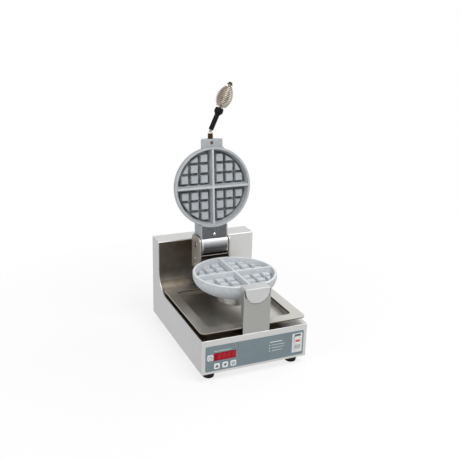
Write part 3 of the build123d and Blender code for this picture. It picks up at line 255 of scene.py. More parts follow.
def most(tree, *values):
    """The largest of sockets and numbers."""
    largest = values[0]
    for value in values[1:]:
        largest = math_node(tree, "MAXIMUM", largest, value)
    return largest


def raised(tree, base, mask, share):
    """base + share x mask, such as a roughness that a mask raises."""
    return math_node(tree, "ADD", times(tree, mask, share), base)


def vector_math(tree, operation, *values):
    """The outputs of a Vector Math node fed by sockets."""
    new = node(tree, "ShaderNodeVectorMath", operation=operation)
    for socket, value in zip(new.inputs, values):
        tree.links.new(value, socket)
    return new.outputs


def noise(tree, place, scale, detail, roughness=0.5):
    """A Noise Texture's value on a vector."""
    new = node(tree, "ShaderNodeTexNoise", Detail=detail, Roughness=roughness)
    tree.links.new(place, new.inputs["Vector"])
    feed(tree, new.inputs["Scale"], scale)
    return new.outputs["Fac"]


def scaled(colour, share):
    """A colour times a number."""
    return tuple(c * share for c in colour)


# The sockets of a Mix node that mixes colours
MIX_FACTOR, MIX_A, MIX_B, MIX_RESULT = 0, 6, 7, 2


def mix_colour(tree, factor, a, b, blend="MIX"):
    """A colour Mix node fed by sockets or colours."""
    new = node(tree, "ShaderNodeMix", data_type="RGBA", blend_type=blend)
    feed(tree, new.inputs[MIX_FACTOR], factor)
    for socket, colour in ((new.inputs[MIX_A], a), (new.inputs[MIX_B], b)):
        feed(tree, socket, colour if isinstance(colour, bpy.types.NodeSocket) else (*colour, 1.0))
    return new.outputs[MIX_RESULT]


def span(tree, value, low, high, to_low=0.0, to_high=1.0):
    """Maps a value's range to another one, held at both ends."""
    new = node(tree, "ShaderNodeMapRange", clamp=True, From_Min=low, From_Max=high, To_Min=to_low, To_Max=to_high)
    tree.links.new(value, new.inputs["Value"])
    return new.outputs["Result"]


def between(tree, mask, none, full):
    """A mask's 0 and 1 turned into two other numbers."""
    return span(tree, mask, 0.0, 1.0, none, full)


def group(name, inputs, outputs, fill):
    """A shader node group, made once. Inputs are named with their defaults, and one without a default is a vector;
    outputs are numbers. fill(tree, inputs, outputs) adds its nodes."""
    if name in bpy.data.node_groups:
        return bpy.data.node_groups[name]
    tree = bpy.data.node_groups.new(name, "ShaderNodeTree")
    for label, default in inputs.items():
        kind = "NodeSocketVector" if default is None else "NodeSocketFloat"
        socket = tree.interface.new_socket(label, in_out="INPUT", socket_type=kind)
        if default is not None:
            socket.default_value = default
    for label in outputs:
        tree.interface.new_socket(label, in_out="OUTPUT", socket_type="NodeSocketFloat")
    fill(tree, tree.nodes.new("NodeGroupInput").outputs, tree.nodes.new("NodeGroupOutput").inputs)
    return tree


# Noise scales per metre: clouds, smudges and speckles on metal, mottle and blotches on castings, an uneven glow
CLOUD, SMUDGE, SPECKLE, MOTTLE, BLOTCH, GLOW = 9.0, 55.0, 260.0, 22.0, 130.0, 600.0
# Noise values that become 0 and 1: streaks and glow, clouds, mottle and pores, smudges, blotches, speckles
STREAK_CUT, SLOW_CUT, SMUDGE_CUT = (0.3, 0.7), (0.35, 0.65), (0.45, 0.75)
BLOTCH_CUT, SPECKLE_CUT = (0.38, 0.60), (0.50, 0.62)


def brushed_grain(tree, given, out):
    """Long streaks: noise on a vector that the material has stretched along the brushing. Cloud is slow and wide,
    Smudge is as wide as a finger."""
    tree.links.new(span(tree, noise(tree, given["Stretched"], 1.0, 4.0, 0.65), *STREAK_CUT), out["Streak"])
    tree.links.new(span(tree, noise(tree, given["Place"], CLOUD, 3.0, 0.55), *SLOW_CUT), out["Cloud"])
    tree.links.new(span(tree, noise(tree, given["Place"], SMUDGE, 2.0), *SMUDGE_CUT), out["Smudge"])


def cast_skin(tree, given, out):
    """Sand-cast skin: two sizes of noise for the pores, one slow mottle and one of blotches a groove wide."""
    scale = math_node(tree, "DIVIDE", 1.0, given["Pore Size"])
    fine = noise(tree, given["Place"], scale, 3.0, 0.6)
    pits = node(tree, "ShaderNodeTexVoronoi")
    tree.links.new(given["Place"], pits.inputs["Vector"])
    tree.links.new(times(tree, scale, 0.6), pits.inputs["Scale"])
    dots = span(tree, pits.outputs["Distance"], 0.0, 0.5)
    tree.links.new(times(tree, dots, fine), out["Height"])
    tree.links.new(span(tree, fine, *SLOW_CUT), out["Pores"])
    tree.links.new(span(tree, noise(tree, given["Place"], MOTTLE, 3.0, 0.55), *SLOW_CUT), out["Mottle"])
    tree.links.new(span(tree, noise(tree, given["Place"], BLOTCH, 2.0), *BLOTCH_CUT), out["Blotch"])


def groove_depth(tree, given, out):
    """How deep a point lies behind a plane, from dot(place - point, out): 0 at the plane and 1 at the given depth.
    Reach is the point's distance from the plane's own point."""
    away = vector_math(tree, "SUBTRACT", given["Place"], given["Plane Point"])["Vector"]
    behind = times(tree, vector_math(tree, "DOT_PRODUCT", away, given["Plane Out"])["Value"], -1.0)
    tree.links.new(math_node(tree, "DIVIDE", behind, given["Depth"]), out["Depth Share"])
    tree.links.new(vector_math(tree, "LENGTH", away)["Value"], out["Reach"])


def grain_on(tree, place, along, scales):
    """The outputs of Brushed Grain. The first scale is along the grain, on the axes set in along, and the second
    one across it."""
    stretch = node(tree, "ShaderNodeMapping", Scale=tuple(scales[0] if a else scales[1] for a in along))
    tree.links.new(place, stretch.inputs["Vector"])
    marks = node(tree, "ShaderNodeGroup", node_tree=group(
        "Brushed Grain", {"Place": None, "Stretched": None}, ("Streak", "Cloud", "Smudge"), brushed_grain))
    tree.links.new(place, marks.inputs["Place"])
    tree.links.new(stretch.outputs["Vector"], marks.inputs["Stretched"])
    return marks.outputs


def skin_on(tree, place, pore):
    """The outputs of Cast Skin."""
    skin = node(tree, "ShaderNodeGroup", node_tree=group(
        "Cast Skin", {"Place": None, "Pore Size": 0.001}, ("Height", "Pores", "Mottle", "Blotch"), cast_skin),
        Pore_Size=pore)
    tree.links.new(place, skin.inputs["Place"])
    return skin.outputs


def depth_on(tree, place, point, out):
    """The outputs of Groove Depth."""
    depth = node(tree, "ShaderNodeGroup", node_tree=group(
        "Groove Depth", {"Place": None, "Plane Point": None, "Plane Out": None, "Depth": 0.01},
        ("Depth Share", "Reach"), groove_depth), Plane_Point=tuple(point), Plane_Out=tuple(out), Depth=GRID_DEPTH)
    tree.links.new(place, depth.inputs["Place"])
    return depth.outputs


def new_material(name):
    """A new Principled material: (material, its tree, its shader, object coordinates)."""
    material = bpy.data.materials.new(name)
    material.use_nodes = True
    tree = material.node_tree
    return material, tree, tree.nodes["Principled BSDF"], tree.nodes.new("ShaderNodeTexCoord").outputs["Object"]


def dress(tree, shader, **inputs):
    """Feeds a shader's inputs by name, with sockets or numbers."""
    for key, value in inputs.items():
        feed(tree, shader.inputs[key.replace("_", " ")], value)


def bump(tree, shader, height, strength, distance):
    """Feeds a height to the shader's normal."""
    new = node(tree, "ShaderNodeBump", Strength=strength, Distance=distance)
    tree.links.new(height, new.inputs["Height"])
    tree.links.new(new.outputs["Normal"], shader.inputs["Normal"])


def across(tree, place, axis, start, full):
    """0 to 1 along one object axis, held outside start and full."""
    split = tree.nodes.new("ShaderNodeSeparateXYZ")
    tree.links.new(place, split.inputs[0])
    return span(tree, split.outputs[axis], start, full)


# Noise scales per metre along and across the brushing of sheet, and the same for the scratches of turned pieces
BRUSHED, TURNED = (14.0, 2600.0), (40.0, 1500.0)
# How far the clouds darken sheet, and what streaks, smudges and the tinted places add to its roughness
CLOUD_SHADE, STREAK_ROUGH, SMUDGE_ROUGH, TINT_ROUGH = 0.22, 0.10, 0.06, 0.12
# Bump strength and its height in metres: brushed sheet, baking grids, turned pieces
SHEET_BUMP, GRID_BUMP, TURNED_BUMP = (0.12, 0.0003), (0.25, 0.0004), (0.08, 0.0001)


def brushed_metal(name, tone, shade, roughness, grain, along=(1, 0, 0), tint=None, tint_mask=None, metal=1.0, shine=0.5):
    """Brushed sheet: the object's coordinates are stretched along the brushing, streaks move colour and roughness.
    tint_mask(tree, place, cloud) gives a mask that brings in the tint colour: painted reflection and shade on the
    deck, splash, tray, strip and drum, and speckles on the yoke."""
    material, tree, shader, place = new_material(name)
    marks = grain_on(tree, place, along, BRUSHED)
    colour = mix_colour(tree, times(tree, marks["Streak"], grain), tone, shade)
    colour = mix_colour(tree, times(tree, marks["Cloud"], CLOUD_SHADE), colour, shade)
    rough = raised(tree, roughness, marks["Streak"], STREAK_ROUGH)
    rough = raised(tree, rough, marks["Smudge"], SMUDGE_ROUGH)
    if tint_mask:
        tinted = tint_mask(tree, place, marks["Cloud"])
        colour = mix_colour(tree, tinted, colour, tint)
        rough = raised(tree, rough, tinted, TINT_ROUGH)
    dress(tree, shader, Base_Color=colour, Metallic=metal, Roughness=rough, Specular_IOR_Level=shine)
    bump(tree, shader, marks["Streak"], *SHEET_BUMP)
    return material


# Masks of a baking grid. Depths are shares of the groove's depth behind the baking face, radii are in metres about
# the face's middle; each pair is where a mask starts and where it ends.
CREST_DEPTH, FILM_AND_SHADE_DEPTH, FLOOR_DEPTH = (0.015, 0.09), (0.70, 0.99), (1.03, 1.06)
LAND_EDGE, CAVITY_EDGE, RIM_EDGE = (0.0890, 0.0900), (0.0895, 0.0915), (0.0960, 0.0968)
PORE_DUST, BARE_CREST, MACHINED = (0.78, 0.80, 0.82), (0.66, 0.675, 0.68), (0.55, 0.555, 0.55)
MOTTLE_SHARE, PORE_SHARE, BLOTCH_SHARE = 0.35, 0.16, 0.14
# What mottle and blotches leave of the skin's colour, and of the strength of the film and painted shade in the
# grooves where they are weakest
MOTTLE_TONE, BLOTCH_TONE, MOTTLE_FILM_AND_SHADE, BLOTCH_FILM_AND_SHADE = 0.78, 0.45, 0.8, 0.55
# How metallic the skin and the machined end are, and what pores and machining add to the roughness
SKIN_METAL, END_METAL, PORE_ROUGH, END_ROUGH = 0.35, 0.6, 0.12, -0.18
ARM_SHADE, OUTSIDE_SHADE, WHITE = (0.022, 0.017, 0.012), (0.90, 0.90, 0.90), (1.0, 1.0, 1.0)


def baking_casting(name, sizes, point, out, film_and_shade_share, painted_lightness, polish, rim_polish, machined=None, shaded_part=None):
    """Coated casting with its baking face at a point, looking out. Grooves go dark with depth inside the round rim,
    from the film in them and from painted shade, by film_and_shade_share at most; painted_lightness scales the skin's
    colour and is painted light, lighter for the lower grid than for the lid. Contact bares the crests by polish and
    the rim by rim_polish. machined(tree, place) masks a bare end, shaded_part(tree, place) a part that is painted
    dark as shade."""
    material, tree, shader, place = new_material(name)
    skin = skin_on(tree, place, sizes.pore)
    depth = depth_on(tree, place, point, out)
    tone = scaled(sizes.tone, painted_lightness)
    light = mix_colour(tree, times(tree, skin["Mottle"], MOTTLE_SHARE), tone, scaled(tone, MOTTLE_TONE))
    light = mix_colour(tree, times(tree, skin["Pores"], PORE_SHARE), light, PORE_DUST)
    light = mix_colour(tree, times(tree, skin["Blotch"], BLOTCH_SHARE), light, scaled(tone, BLOTCH_TONE))
    inside = times(tree, span(tree, depth["Depth Share"], *FLOOR_DEPTH, 1.0, 0.0),
                   span(tree, depth["Reach"], *CAVITY_EDGE, 1.0, 0.0))
    light = mix_colour(tree, 1.0, light, mix_colour(tree, inside, OUTSIDE_SHADE, WHITE), "MULTIPLY")
    # film: the grooves' darkening, the film in them and painted shade together
    film = times(tree, span(tree, depth["Depth Share"], *FILM_AND_SHADE_DEPTH), inside,
                 between(tree, skin["Mottle"], MOTTLE_FILM_AND_SHADE * film_and_shade_share, film_and_shade_share),
                 between(tree, skin["Blotch"], BLOTCH_FILM_AND_SHADE, 1.0))
    crest = times(tree, span(tree, depth["Depth Share"], *CREST_DEPTH, 1.0, 0.0),
                  span(tree, depth["Reach"], *LAND_EDGE, polish, rim_polish),
                  span(tree, depth["Reach"], *RIM_EDGE, 1.0, 0.0))
    colour = mix_colour(tree, crest, mix_colour(tree, film, light, tuple(sizes.groove_film_and_shade)), BARE_CREST)
    rough = raised(tree, sizes.roughness, skin["Pores"], PORE_ROUGH)
    metal = between(tree, film, SKIN_METAL, 0.0)
    if machined:
        bare = machined(tree, place)
        colour = mix_colour(tree, bare, colour, MACHINED)
        rough = raised(tree, rough, bare, END_ROUGH)
        metal = most(tree, metal, times(tree, bare, END_METAL))
    if shaded_part:
        colour = mix_colour(tree, shaded_part(tree, place), colour, ARM_SHADE)
    dress(tree, shader, Base_Color=colour, Metallic=metal, Roughness=rough)
    bump(tree, shader, skin["Height"], *GRID_BUMP)
    return material


def cast_iron(name, tone, light, pore=0.0012, roughness=0.6, metallic=0.6, lift=0.4):
    """Rough cast or hammered paint: the same skin group with its own tones."""
    material, tree, shader, place = new_material(name)
    skin = skin_on(tree, place, pore)
    dress(tree, shader, Base_Color=mix_colour(tree, skin["Pores"], tone, light), Metallic=metallic,
          Roughness=raised(tree, roughness, skin["Mottle"], 0.15))
    bump(tree, shader, skin["Height"], lift, 0.0005)
    return material


def turned_metal(name, tone, worn, roughness=0.22, along=(0, 0, 0)):
    """Turned or plated metal with fine scratches and handling tarnish."""
    material, tree, shader, place = new_material(name)
    marks = grain_on(tree, place, along, TURNED)
    dress(tree, shader, Base_Color=mix_colour(tree, times(tree, marks["Smudge"], 0.8), tone, worn), Metallic=1.0,
          Roughness=raised(tree, roughness, marks["Streak"], 0.12))
    bump(tree, shader, marks["Streak"], *TURNED_BUMP)
    return material


def moulded(name, tone, dull, roughness=0.45, grain_size=0.0007, lift=0.12, coat=0.0, shine=0.5):
    """Moulded plastic or rubber: fine spark texture, slow change of tone and gloss."""
    material, tree, shader, place = new_material(name)
    skin = skin_on(tree, place, grain_size)
    dress(tree, shader, Base_Color=mix_colour(tree, skin["Mottle"], tone, dull), Coat_Weight=coat,
          Roughness=raised(tree, roughness, skin["Pores"], PORE_ROUGH), Specular_IOR_Level=shine)
    bump(tree, shader, skin["Height"], lift, 0.0002)
    return material


def lit(name, colour, strength):
    """A lit surface with a slightly uneven glow."""
    material, tree, shader, place = new_material(name)
    even = span(tree, noise(tree, place, GLOW, 1.0), *STREAK_CUT)
    glow = mix_colour(tree, even, colour, scaled(colour, 0.8))
    dress(tree, shader, Base_Color=glow, Emission_Color=glow, Emission_Strength=strength, Roughness=0.4)
    return material


def wear(material, *nodes):
    """Gives a material to CAD nodes by their material slots."""
    for name in nodes:
        for entry in NODES[name].material_slots:
            entry.link = "OBJECT"
            entry.material = material


# -------- operators: finishes of the CAD pieces

# Masks of painted reflection and shade, of the yoke's speckles and of the machined trunnion: where each mask starts
# and where it is full, in metres along one axis
SPLASH_LEFT, SPLASH_TOP = (0.030, -0.030), (0.2240, 0.2215)
SPLASH_RISE, SPLASH_FOOT = (0.130, 0.200), (0.134, 0.124)
DECK_TOP, DECK_RIGHT = (0.1010, 0.0998), (0.090, 0.060)
PAN_INSIDE, PAN_LEFT, PAN_BACK = (0.1132, 0.1126), (0.060, -0.010), (-0.165, -0.060)
CORNER_LEFT, CORNER_FRONT = (-0.030, -0.065), (-0.030, -0.100)
RIM_SHADOW, CREASE_TOP, CREASE_FOOT = (0.1080, 0.1105), (0.1012, 0.1004), (0.0997, 0.1001)
RIM_LEFT, YOKE_LEFT = (0.095, -0.060), (0.030, -0.010)
STRIP_FACE = (STRIP_TOP - 0.0003, STRIP_TOP - 0.0010)
DRUM_FRONT, DRUM_LOWER = (HINGE_Z + 0.012, HINGE_Z - 0.002), (HINGE_Z - 0.002, HINGE_Z - 0.009)
DRUM_UNDER = (HINGE_Z - 0.0130, HINGE_Z - 0.0165)
TRUNNION_Y, ARM_Y = (-0.1500, -0.1508), (0.0460, 0.0490)


def splash_shade(tree, place, cloud):
    """Painted reflection and shade: brown on the splash and its bend left of the yoke, strongest high up and at the
    bend, and painted shade on the deck under the tray; the right half stays bright."""
    lower = most(tree, between(tree, across(tree, place, Z, *SPLASH_RISE), 0.91, 1.0),
                 across(tree, place, Z, *SPLASH_FOOT))
    wall = times(tree, across(tree, place, X, *SPLASH_LEFT), across(tree, place, Z, *SPLASH_TOP), lower,
                 between(tree, cloud, 0.84, 1.0))
    # under: painted shade on the deck under the tray
    under = times(tree, across(tree, place, Z, *DECK_TOP), across(tree, place, X, *DECK_RIGHT))
    return most(tree, wall, under)


def tray_shade(tree, place, cloud):
    """Painted reflection and shade in the pan: brown, darkest at the back and under the bowl, light in the front left
    corner and bare steel on the right; a painted shadow line under the rim, and a dark line along the crease round
    the floor."""
    pan = across(tree, place, Z, *PAN_INSIDE)
    corner = times(tree, across(tree, place, X, *CORNER_LEFT), across(tree, place, Y, *CORNER_FRONT))
    wide = times(tree, pan, across(tree, place, X, *PAN_LEFT), between(tree, corner, 1.0, 0.30),
                 between(tree, across(tree, place, Y, *PAN_BACK), 0.30, 0.80),
                 between(tree, cloud, 0.75, 1.0))
    rim_shadow = times(tree, across(tree, place, Z, *RIM_SHADOW), pan)
    creased = times(tree, across(tree, place, Z, *CREASE_TOP), across(tree, place, Z, *CREASE_FOOT))
    # rim: painted shade over the whole tray, stronger towards the left
    rim = between(tree, across(tree, place, X, *RIM_LEFT), 0.12, 0.34)
    return most(tree, wide, rim, rim_shadow, creased)


def yoke_speckle(tree, place, cloud):
    """Brown speckles a few millimetres wide on a thin tint, over the left cheek; the right cheek stays bare."""
    spots = times(tree, span(tree, noise(tree, place, SPECKLE, 3.0, 0.6), *SPECKLE_CUT, 0.0, 0.75),
                  between(tree, cloud, 0.45, 1.0))
    return times(tree, most(tree, spots, 0.27), across(tree, place, X, *YOKE_LEFT))


def strip_shade(tree, place, cloud):
    """Painted shade on the strip's face under the drum, left light along its upper edge as a painted highlight."""
    return across(tree, place, Z, *STRIP_FACE)


def drum_reflection(tree, place, cloud):
    """Painted reflection: a dark band round the front of the hinge drum, weaker in its lower half, and painted shade
    underneath.
    """
    # film: the painted reflection band round the drum's front
    film = times(tree, across(tree, place, Z, *DRUM_FRONT),
                 between(tree, across(tree, place, Z, *DRUM_LOWER), 0.80, 0.40))
    return most(tree, film, across(tree, place, Z, *DRUM_UNDER))


class BAKER_OT_sheet(bpy.types.Operator):
    """Stainless sheet of the housing, tray, cradle and yoke"""
    bl_idname = "baker.sheet"
    bl_label = "Stainless Sheet"

    def execute(self, context):
        sizes = context.scene.baker_sheet
        tone, shade, brown = tuple(sizes.tone), tuple(sizes.shade), tuple(sizes.brown)
        for name, light, deep, rougher, along, look, *nodes in (
                ("side_sheet", tone, scaled(tone, 0.86), 0.14, (0, 1, 0), {}, "side_panel_left", "side_panel_right"),
                ("rear_sheet", tone, shade, 0.08, (1, 0, 0), {}, "rear_cover", "bottom_pan"),
                ("front_sheet", (0.61, 0.615, 0.605), (0.53, 0.53, 0.52), 0.06, (1, 0, 0), {}, "front_panel"),
                # The deck's and the tray's tints are painted reflection and shade
                ("deck_sheet", (0.66, 0.66, 0.655), (0.54, 0.535, 0.525), 0.0, (1, 0, 0),
                 {"tint": brown, "tint_mask": splash_shade}, "deck_splash"),
                ("tray_sheet", (0.695, 0.685, 0.655), (0.50, 0.485, 0.455), -0.08, (0, 1, 0),
                 {"tint": scaled(brown, 2.0), "tint_mask": tray_shade, "metal": 0.88}, "drip_tray"),
                ("cradle_sheet", (0.39, 0.39, 0.38), (0.31, 0.305, 0.295), 0.04, (0, 0, 1), {}, "front_cradle"),
                ("yoke_sheet", (0.60, 0.57, 0.53), (0.36, 0.33, 0.30), 0.1, (0, 0, 1),
                 {"tint": (0.12, 0.075, 0.04), "tint_mask": yoke_speckle, "metal": 0.45}, "yoke_bracket"),
                # The strip's near-black tint is painted shade under the drum
                ("strip_sheet", (0.60, 0.58, 0.54), (0.45, 0.43, 0.40), 0.2, (1, 0, 0),
                 {"tint": (0.010, 0.007, 0.005), "tint_mask": strip_shade, "metal": 0.1, "shine": 0.1}, "yoke_strip")):
            wear(brushed_metal(name, light, deep, sizes.roughness + rougher, sizes.grain, along, **look), *nodes)
        return {"FINISHED"}


class BAKER_OT_castings(bpy.types.Operator):
    """Baking grids, bearing housing and neck cover"""
    bl_idname = "baker.castings"
    bl_label = "Castings"

    def execute(self, context):
        sizes = context.scene.baker_casting

        def trunnion(tree, place):
            """The machined half-round that lies in the cradle."""
            return across(tree, place, Y, *TRUNNION_Y)

        def arm(tree, place):
            """The arm behind the rim, under the hinge drum, which is painted dark as shade."""
            return across(tree, place, Y, *ARM_Y)

        # painted_lightness is painted light: the same coating is lighter on the lower grid than on the lid
        wear(baking_casting("lower_grid", sizes, LOWER_MID, (0.0, 0.0, 1.0), film_and_shade_share=0.50, painted_lightness=1.33,
                            polish=1.0, rim_polish=1.0, machined=trunnion, shaded_part=arm), "lower_casting")
        wear(baking_casting("upper_grid", sizes, LID_MID, LID_OUT, film_and_shade_share=0.95, painted_lightness=0.96, polish=0.45,
                            rim_polish=0.18), "upper_casting")
        wear(cast_iron("housing_iron", (0.10, 0.10, 0.105), (0.16, 0.16, 0.165)), "bearing_housing")
        wear(cast_iron("hammered_cover", (0.060, 0.062, 0.066), (0.125, 0.128, 0.133), pore=0.0024, roughness=0.38,
                       metallic=0.0, lift=0.7), "neck_cover")
        return {"FINISHED"}


# Turned pieces: material, bare colour, tarnished colour, roughness, nodes
TURNED_PIECES = (
    ("shaft_steel", (0.50, 0.49, 0.48), (0.30, 0.28, 0.26), 0.28, "rotor_shaft", "shaft_ring"),
    ("heater_cans", (0.66, 0.655, 0.64), (0.40, 0.37, 0.33), 0.34, "lower_heater_can", "upper_heater_can"),
    ("zinc_screws", (0.58, 0.57, 0.54), (0.36, 0.33, 0.28), 0.25, "rear_screws", "foot_screws", "cradle_screws",
     "yoke_screws", "neck_cover_screw", "bearing_nuts"),
    ("browned_screw", (0.16, 0.13, 0.09), (0.05, 0.04, 0.03), 0.35, "tab_screw"),
    ("rod_steel", (0.30, 0.27, 0.23), (0.12, 0.10, 0.085), 0.34, "handle_rod"),
    ("collar_steel", (0.84, 0.83, 0.80), (0.62, 0.60, 0.56), 0.20, "handle_collar"),
    ("dull_brass", (0.085, 0.056, 0.026), (0.03, 0.02, 0.010), 0.36, "handle_stub", "grip_nut", "bearing_bush"),
    ("coil_nickel", (0.44, 0.39, 0.33), (0.20, 0.16, 0.115), 0.16, "coil_grip"))
# Moulded pieces: material, colour, dull colour, roughness, further settings, nodes
PLASTICS = (
    ("foot_rubber", (0.008, 0.008, 0.009), (0.014, 0.014, 0.014), 0.55,
     {"grain_size": 0.0009, "lift": 0.3, "shine": 0.12}, "feet"),
    ("black_nylon", (0.006, 0.006, 0.007), (0.011, 0.011, 0.012), 0.42, {"grain_size": 0.0008, "shine": 0.08},
     "cord_gland", "handle_sleeve", "handle_ferrule"),
    ("bezel_plastic", (0.66, 0.67, 0.68), (0.60, 0.61, 0.62), 0.36, {}, "switch_bezel"),
    ("rocker_plastic", (0.74, 0.73, 0.71), (0.68, 0.67, 0.65), 0.28, {"coat": 0.1}, "switch_rocker"),
    ("key_film", (0.72, 0.76, 0.76), (0.66, 0.70, 0.71), 0.42, {}, "key_timer", "key_down", "key_up", "key_menu"),
    ("window_filter", (0.32, 0.004, 0.013), (0.28, 0.003, 0.011), 0.26,
     {"grain_size": 0.004, "lift": 0.02, "shine": 0.06}, "display_window"),
    ("lamp_lens", (0.17, 0.004, 0.009), (0.14, 0.003, 0.008), 0.55,
     {"grain_size": 0.004, "lift": 0.02, "shine": 0.02}, "indicator_led"),
    ("board_mask", (0.015, 0.11, 0.05), (0.012, 0.09, 0.04), 0.35, {}, "control_board"),
    ("spacer_nylon", (0.70, 0.70, 0.66), (0.64, 0.64, 0.60), 0.40, {}, "board_spacers"),
    ("heater_mica", (0.30, 0.23, 0.15), (0.20, 0.15, 0.10), 0.60, {"grain_size": 0.003, "lift": 0.3},
     "lower_heater", "upper_heater"))


class BAKER_OT_turned(bpy.types.Operator):
    """Drum, caps, pin, shaft, screws, rod, brass nuts and coil grip"""
    bl_idname = "baker.turned"
    bl_label = "Turned Metal"

    def execute(self, context):
        wear(turned_metal("bright_turned", (0.50, 0.50, 0.505), (0.30, 0.29, 0.28), 0.26, along=(1, 0, 0)),
             "drum_cap_left", "drum_cap_right", "hinge_pin")
        # The drum's tint is painted reflection and shade
        wear(brushed_metal("polished_drum", (0.40, 0.405, 0.42), (0.32, 0.32, 0.325), 0.40,
                           context.scene.baker_sheet.grain, tint=(0.020, 0.018, 0.015), tint_mask=drum_reflection), "hinge_drum")
        for name, tone, worn, roughness, *nodes in TURNED_PIECES:
            wear(turned_metal(name, tone, worn, roughness), *nodes)
        return {"FINISHED"}


class BAKER_OT_plastics(bpy.types.Operator):
    """Feet, gland, sleeve, bezel, keys, rocker, window and board"""
    bl_idname = "baker.plastics"
    bl_label = "Plastics And Rubber"

    def execute(self, context):
        film = tuple(context.scene.baker_panel.film)
        wear(moulded("panel_film", film, scaled(film, 0.9), 0.40, 0.0005, 0.08), "control_overlay")
        for name, tone, dull, roughness, look, *nodes in PLASTICS:
            wear(moulded(name, tone, dull, roughness, **look), *nodes)
        return {"FINISHED"}


# -------- operators: new pieces

# Shares of a digit's height: width, bar, pitch and slant. Then half the gap between bars as a share of the bar, and
# how far the number stands right of the middle
DIGIT_WIDE, DIGIT_BAR, DIGIT_PITCH, DIGIT_SLANT, BAR_GAP, NUMBER_RIGHT = 0.52, 0.13, 0.98, 0.12, 0.55, 0.004
SEGMENTS = {"0": "abcdef", "1": "bc", "2": "abged", "3": "abgcd", "4": "fgbc", "5": "afgcd", "6": "afgedc",
            "7": "abc", "8": "abcdefg", "9": "abcdfg"}
# Printed marks on the film, in metres from its middle: the rules' heights, left end, longest length and its loss
# per row, a thin line's thickness and corner, and the dots before the rules
ROWS, RULE_LEFT, RULE_LONG, RULE_STEP = (0.0065, -0.0004, -0.0073), 0.0390, 0.033, 0.003
LINE_THICK, LINE_ROUND, DOT_X, DOT_RADIUS = 0.0007, 0.0003, 0.0338, 0.0012
# Bars, each with its place: the title over the rules, the rule over the window, and the print on the bezel. Then
# the radii of the ring round the lamp
TITLE, TITLE_AT = (0.031, 0.0015, 0.0005), (0.0490, 0.0140)
WINDOW_RULE, WINDOW_RULE_AT = (0.040, LINE_THICK, LINE_ROUND), (-0.0790, 0.0170)
BEZEL_BAR, BEZEL_BAR_AT = (0.0150, 0.0030, 0.0006), (0.0, 0.0203)
LAMP_RING = (0.0031, 0.0026)


def front_face(node_name):
    """The plane on a front node's face: (middle of the face, right, up, out)."""
    low, high = (np.array(corner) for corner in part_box(node_name))
    at = (low + high) / 2
    at[Y] = low[Y]
    return at, (1, 0, 0), (0, 0, 1), (0, -1, 0)


def segment_outline(which, height, width, thick):
    """A pointed bar of a seven-segment digit: a hexagon along x or y, moved to its place and slanted."""
    half = (width if which in "agd" else height / 2) / 2 - thick * BAR_GAP
    shape = np.array([(-half, 0), (-half + thick / 2, -thick / 2), (half - thick / 2, -thick / 2), (half, 0),
                      (half - thick / 2, thick / 2), (-half + thick / 2, thick / 2)])
    if which not in "agd":
        shape = shape[:, ::-1] * (-1, 1)
    spots = {"a": (0, height / 2), "g": (0, 0), "d": (0, -height / 2), "b": (width / 2, height / 4),
             "c": (width / 2, -height / 4), "e": (-width / 2, -height / 4), "f": (-width / 2, height / 4)}
    moved = shape + spots[which]
    moved[:, 0] += moved[:, 1] * DIGIT_SLANT
    return moved


class BAKER_OT_digits(bpy.types.Operator):
    """Unlit digits that show through the display window, with a faint painted glow"""
    bl_idname = "baker.digits"
    bl_label = "Display Digits"

    def execute(self, context):
        panel = context.scene.baker_panel
        height = panel.digit_height
        at = front_face("display_window")
        parts = []
        for index, digit in enumerate(panel.number):
            x = (index - (len(panel.number) - 1) / 2) * height * DIGIT_PITCH + NUMBER_RIGHT
            for which in SEGMENTS[digit]:
                segment = segment_outline(which, height, height * DIGIT_WIDE, height * DIGIT_BAR)
                parts.append(plate(segment + (x, 0), at, panel.ink_thick))
        # The unlit segments are given a faint glow: painted light
        mesh_piece("display_digits", *join(parts), "base", "red_filter", lit("digit_glow", tuple(panel.glow), 0.10))
        return {"FINISHED"}


class BAKER_OT_panel_marks(bpy.types.Operator):
    """Dots, rules and lines printed on the film, and the ring round the lamp"""
    bl_idname = "baker.panel_marks"
    bl_label = "Panel Marks"

    def execute(self, context):
        panel = context.scene.baker_panel
        ink = moulded("panel_ink", tuple(panel.ink), scaled(panel.ink, 0.92), 0.5, 0.0005, 0.05)
        at = front_face("control_overlay")
        marks = []
        for row, y in enumerate(ROWS):
            long = RULE_LONG - row * RULE_STEP
            marks.append(circle(DOT_RADIUS, 20, (DOT_X, y)))
            marks.append(bar((long, LINE_THICK, LINE_ROUND), RULE_LEFT + long / 2, y))
        marks += [bar(TITLE, *TITLE_AT), bar(WINDOW_RULE, *WINDOW_RULE_AT)]
        parts = [plate(mark, at, panel.ink_thick) for mark in marks]
        mesh_piece("panel_marks", *join(parts), "base", "overlay_film", ink)
        lamp = (middle("indicator_led") - at[0])[[X, Z]]
        outer, inner = (circle(radius, at=lamp) for radius in LAMP_RING)
        mesh_piece("lamp_ring", *band(outer, inner, at, panel.ink_thick), "base", "overlay_film", ink)
        return {"FINISHED"}


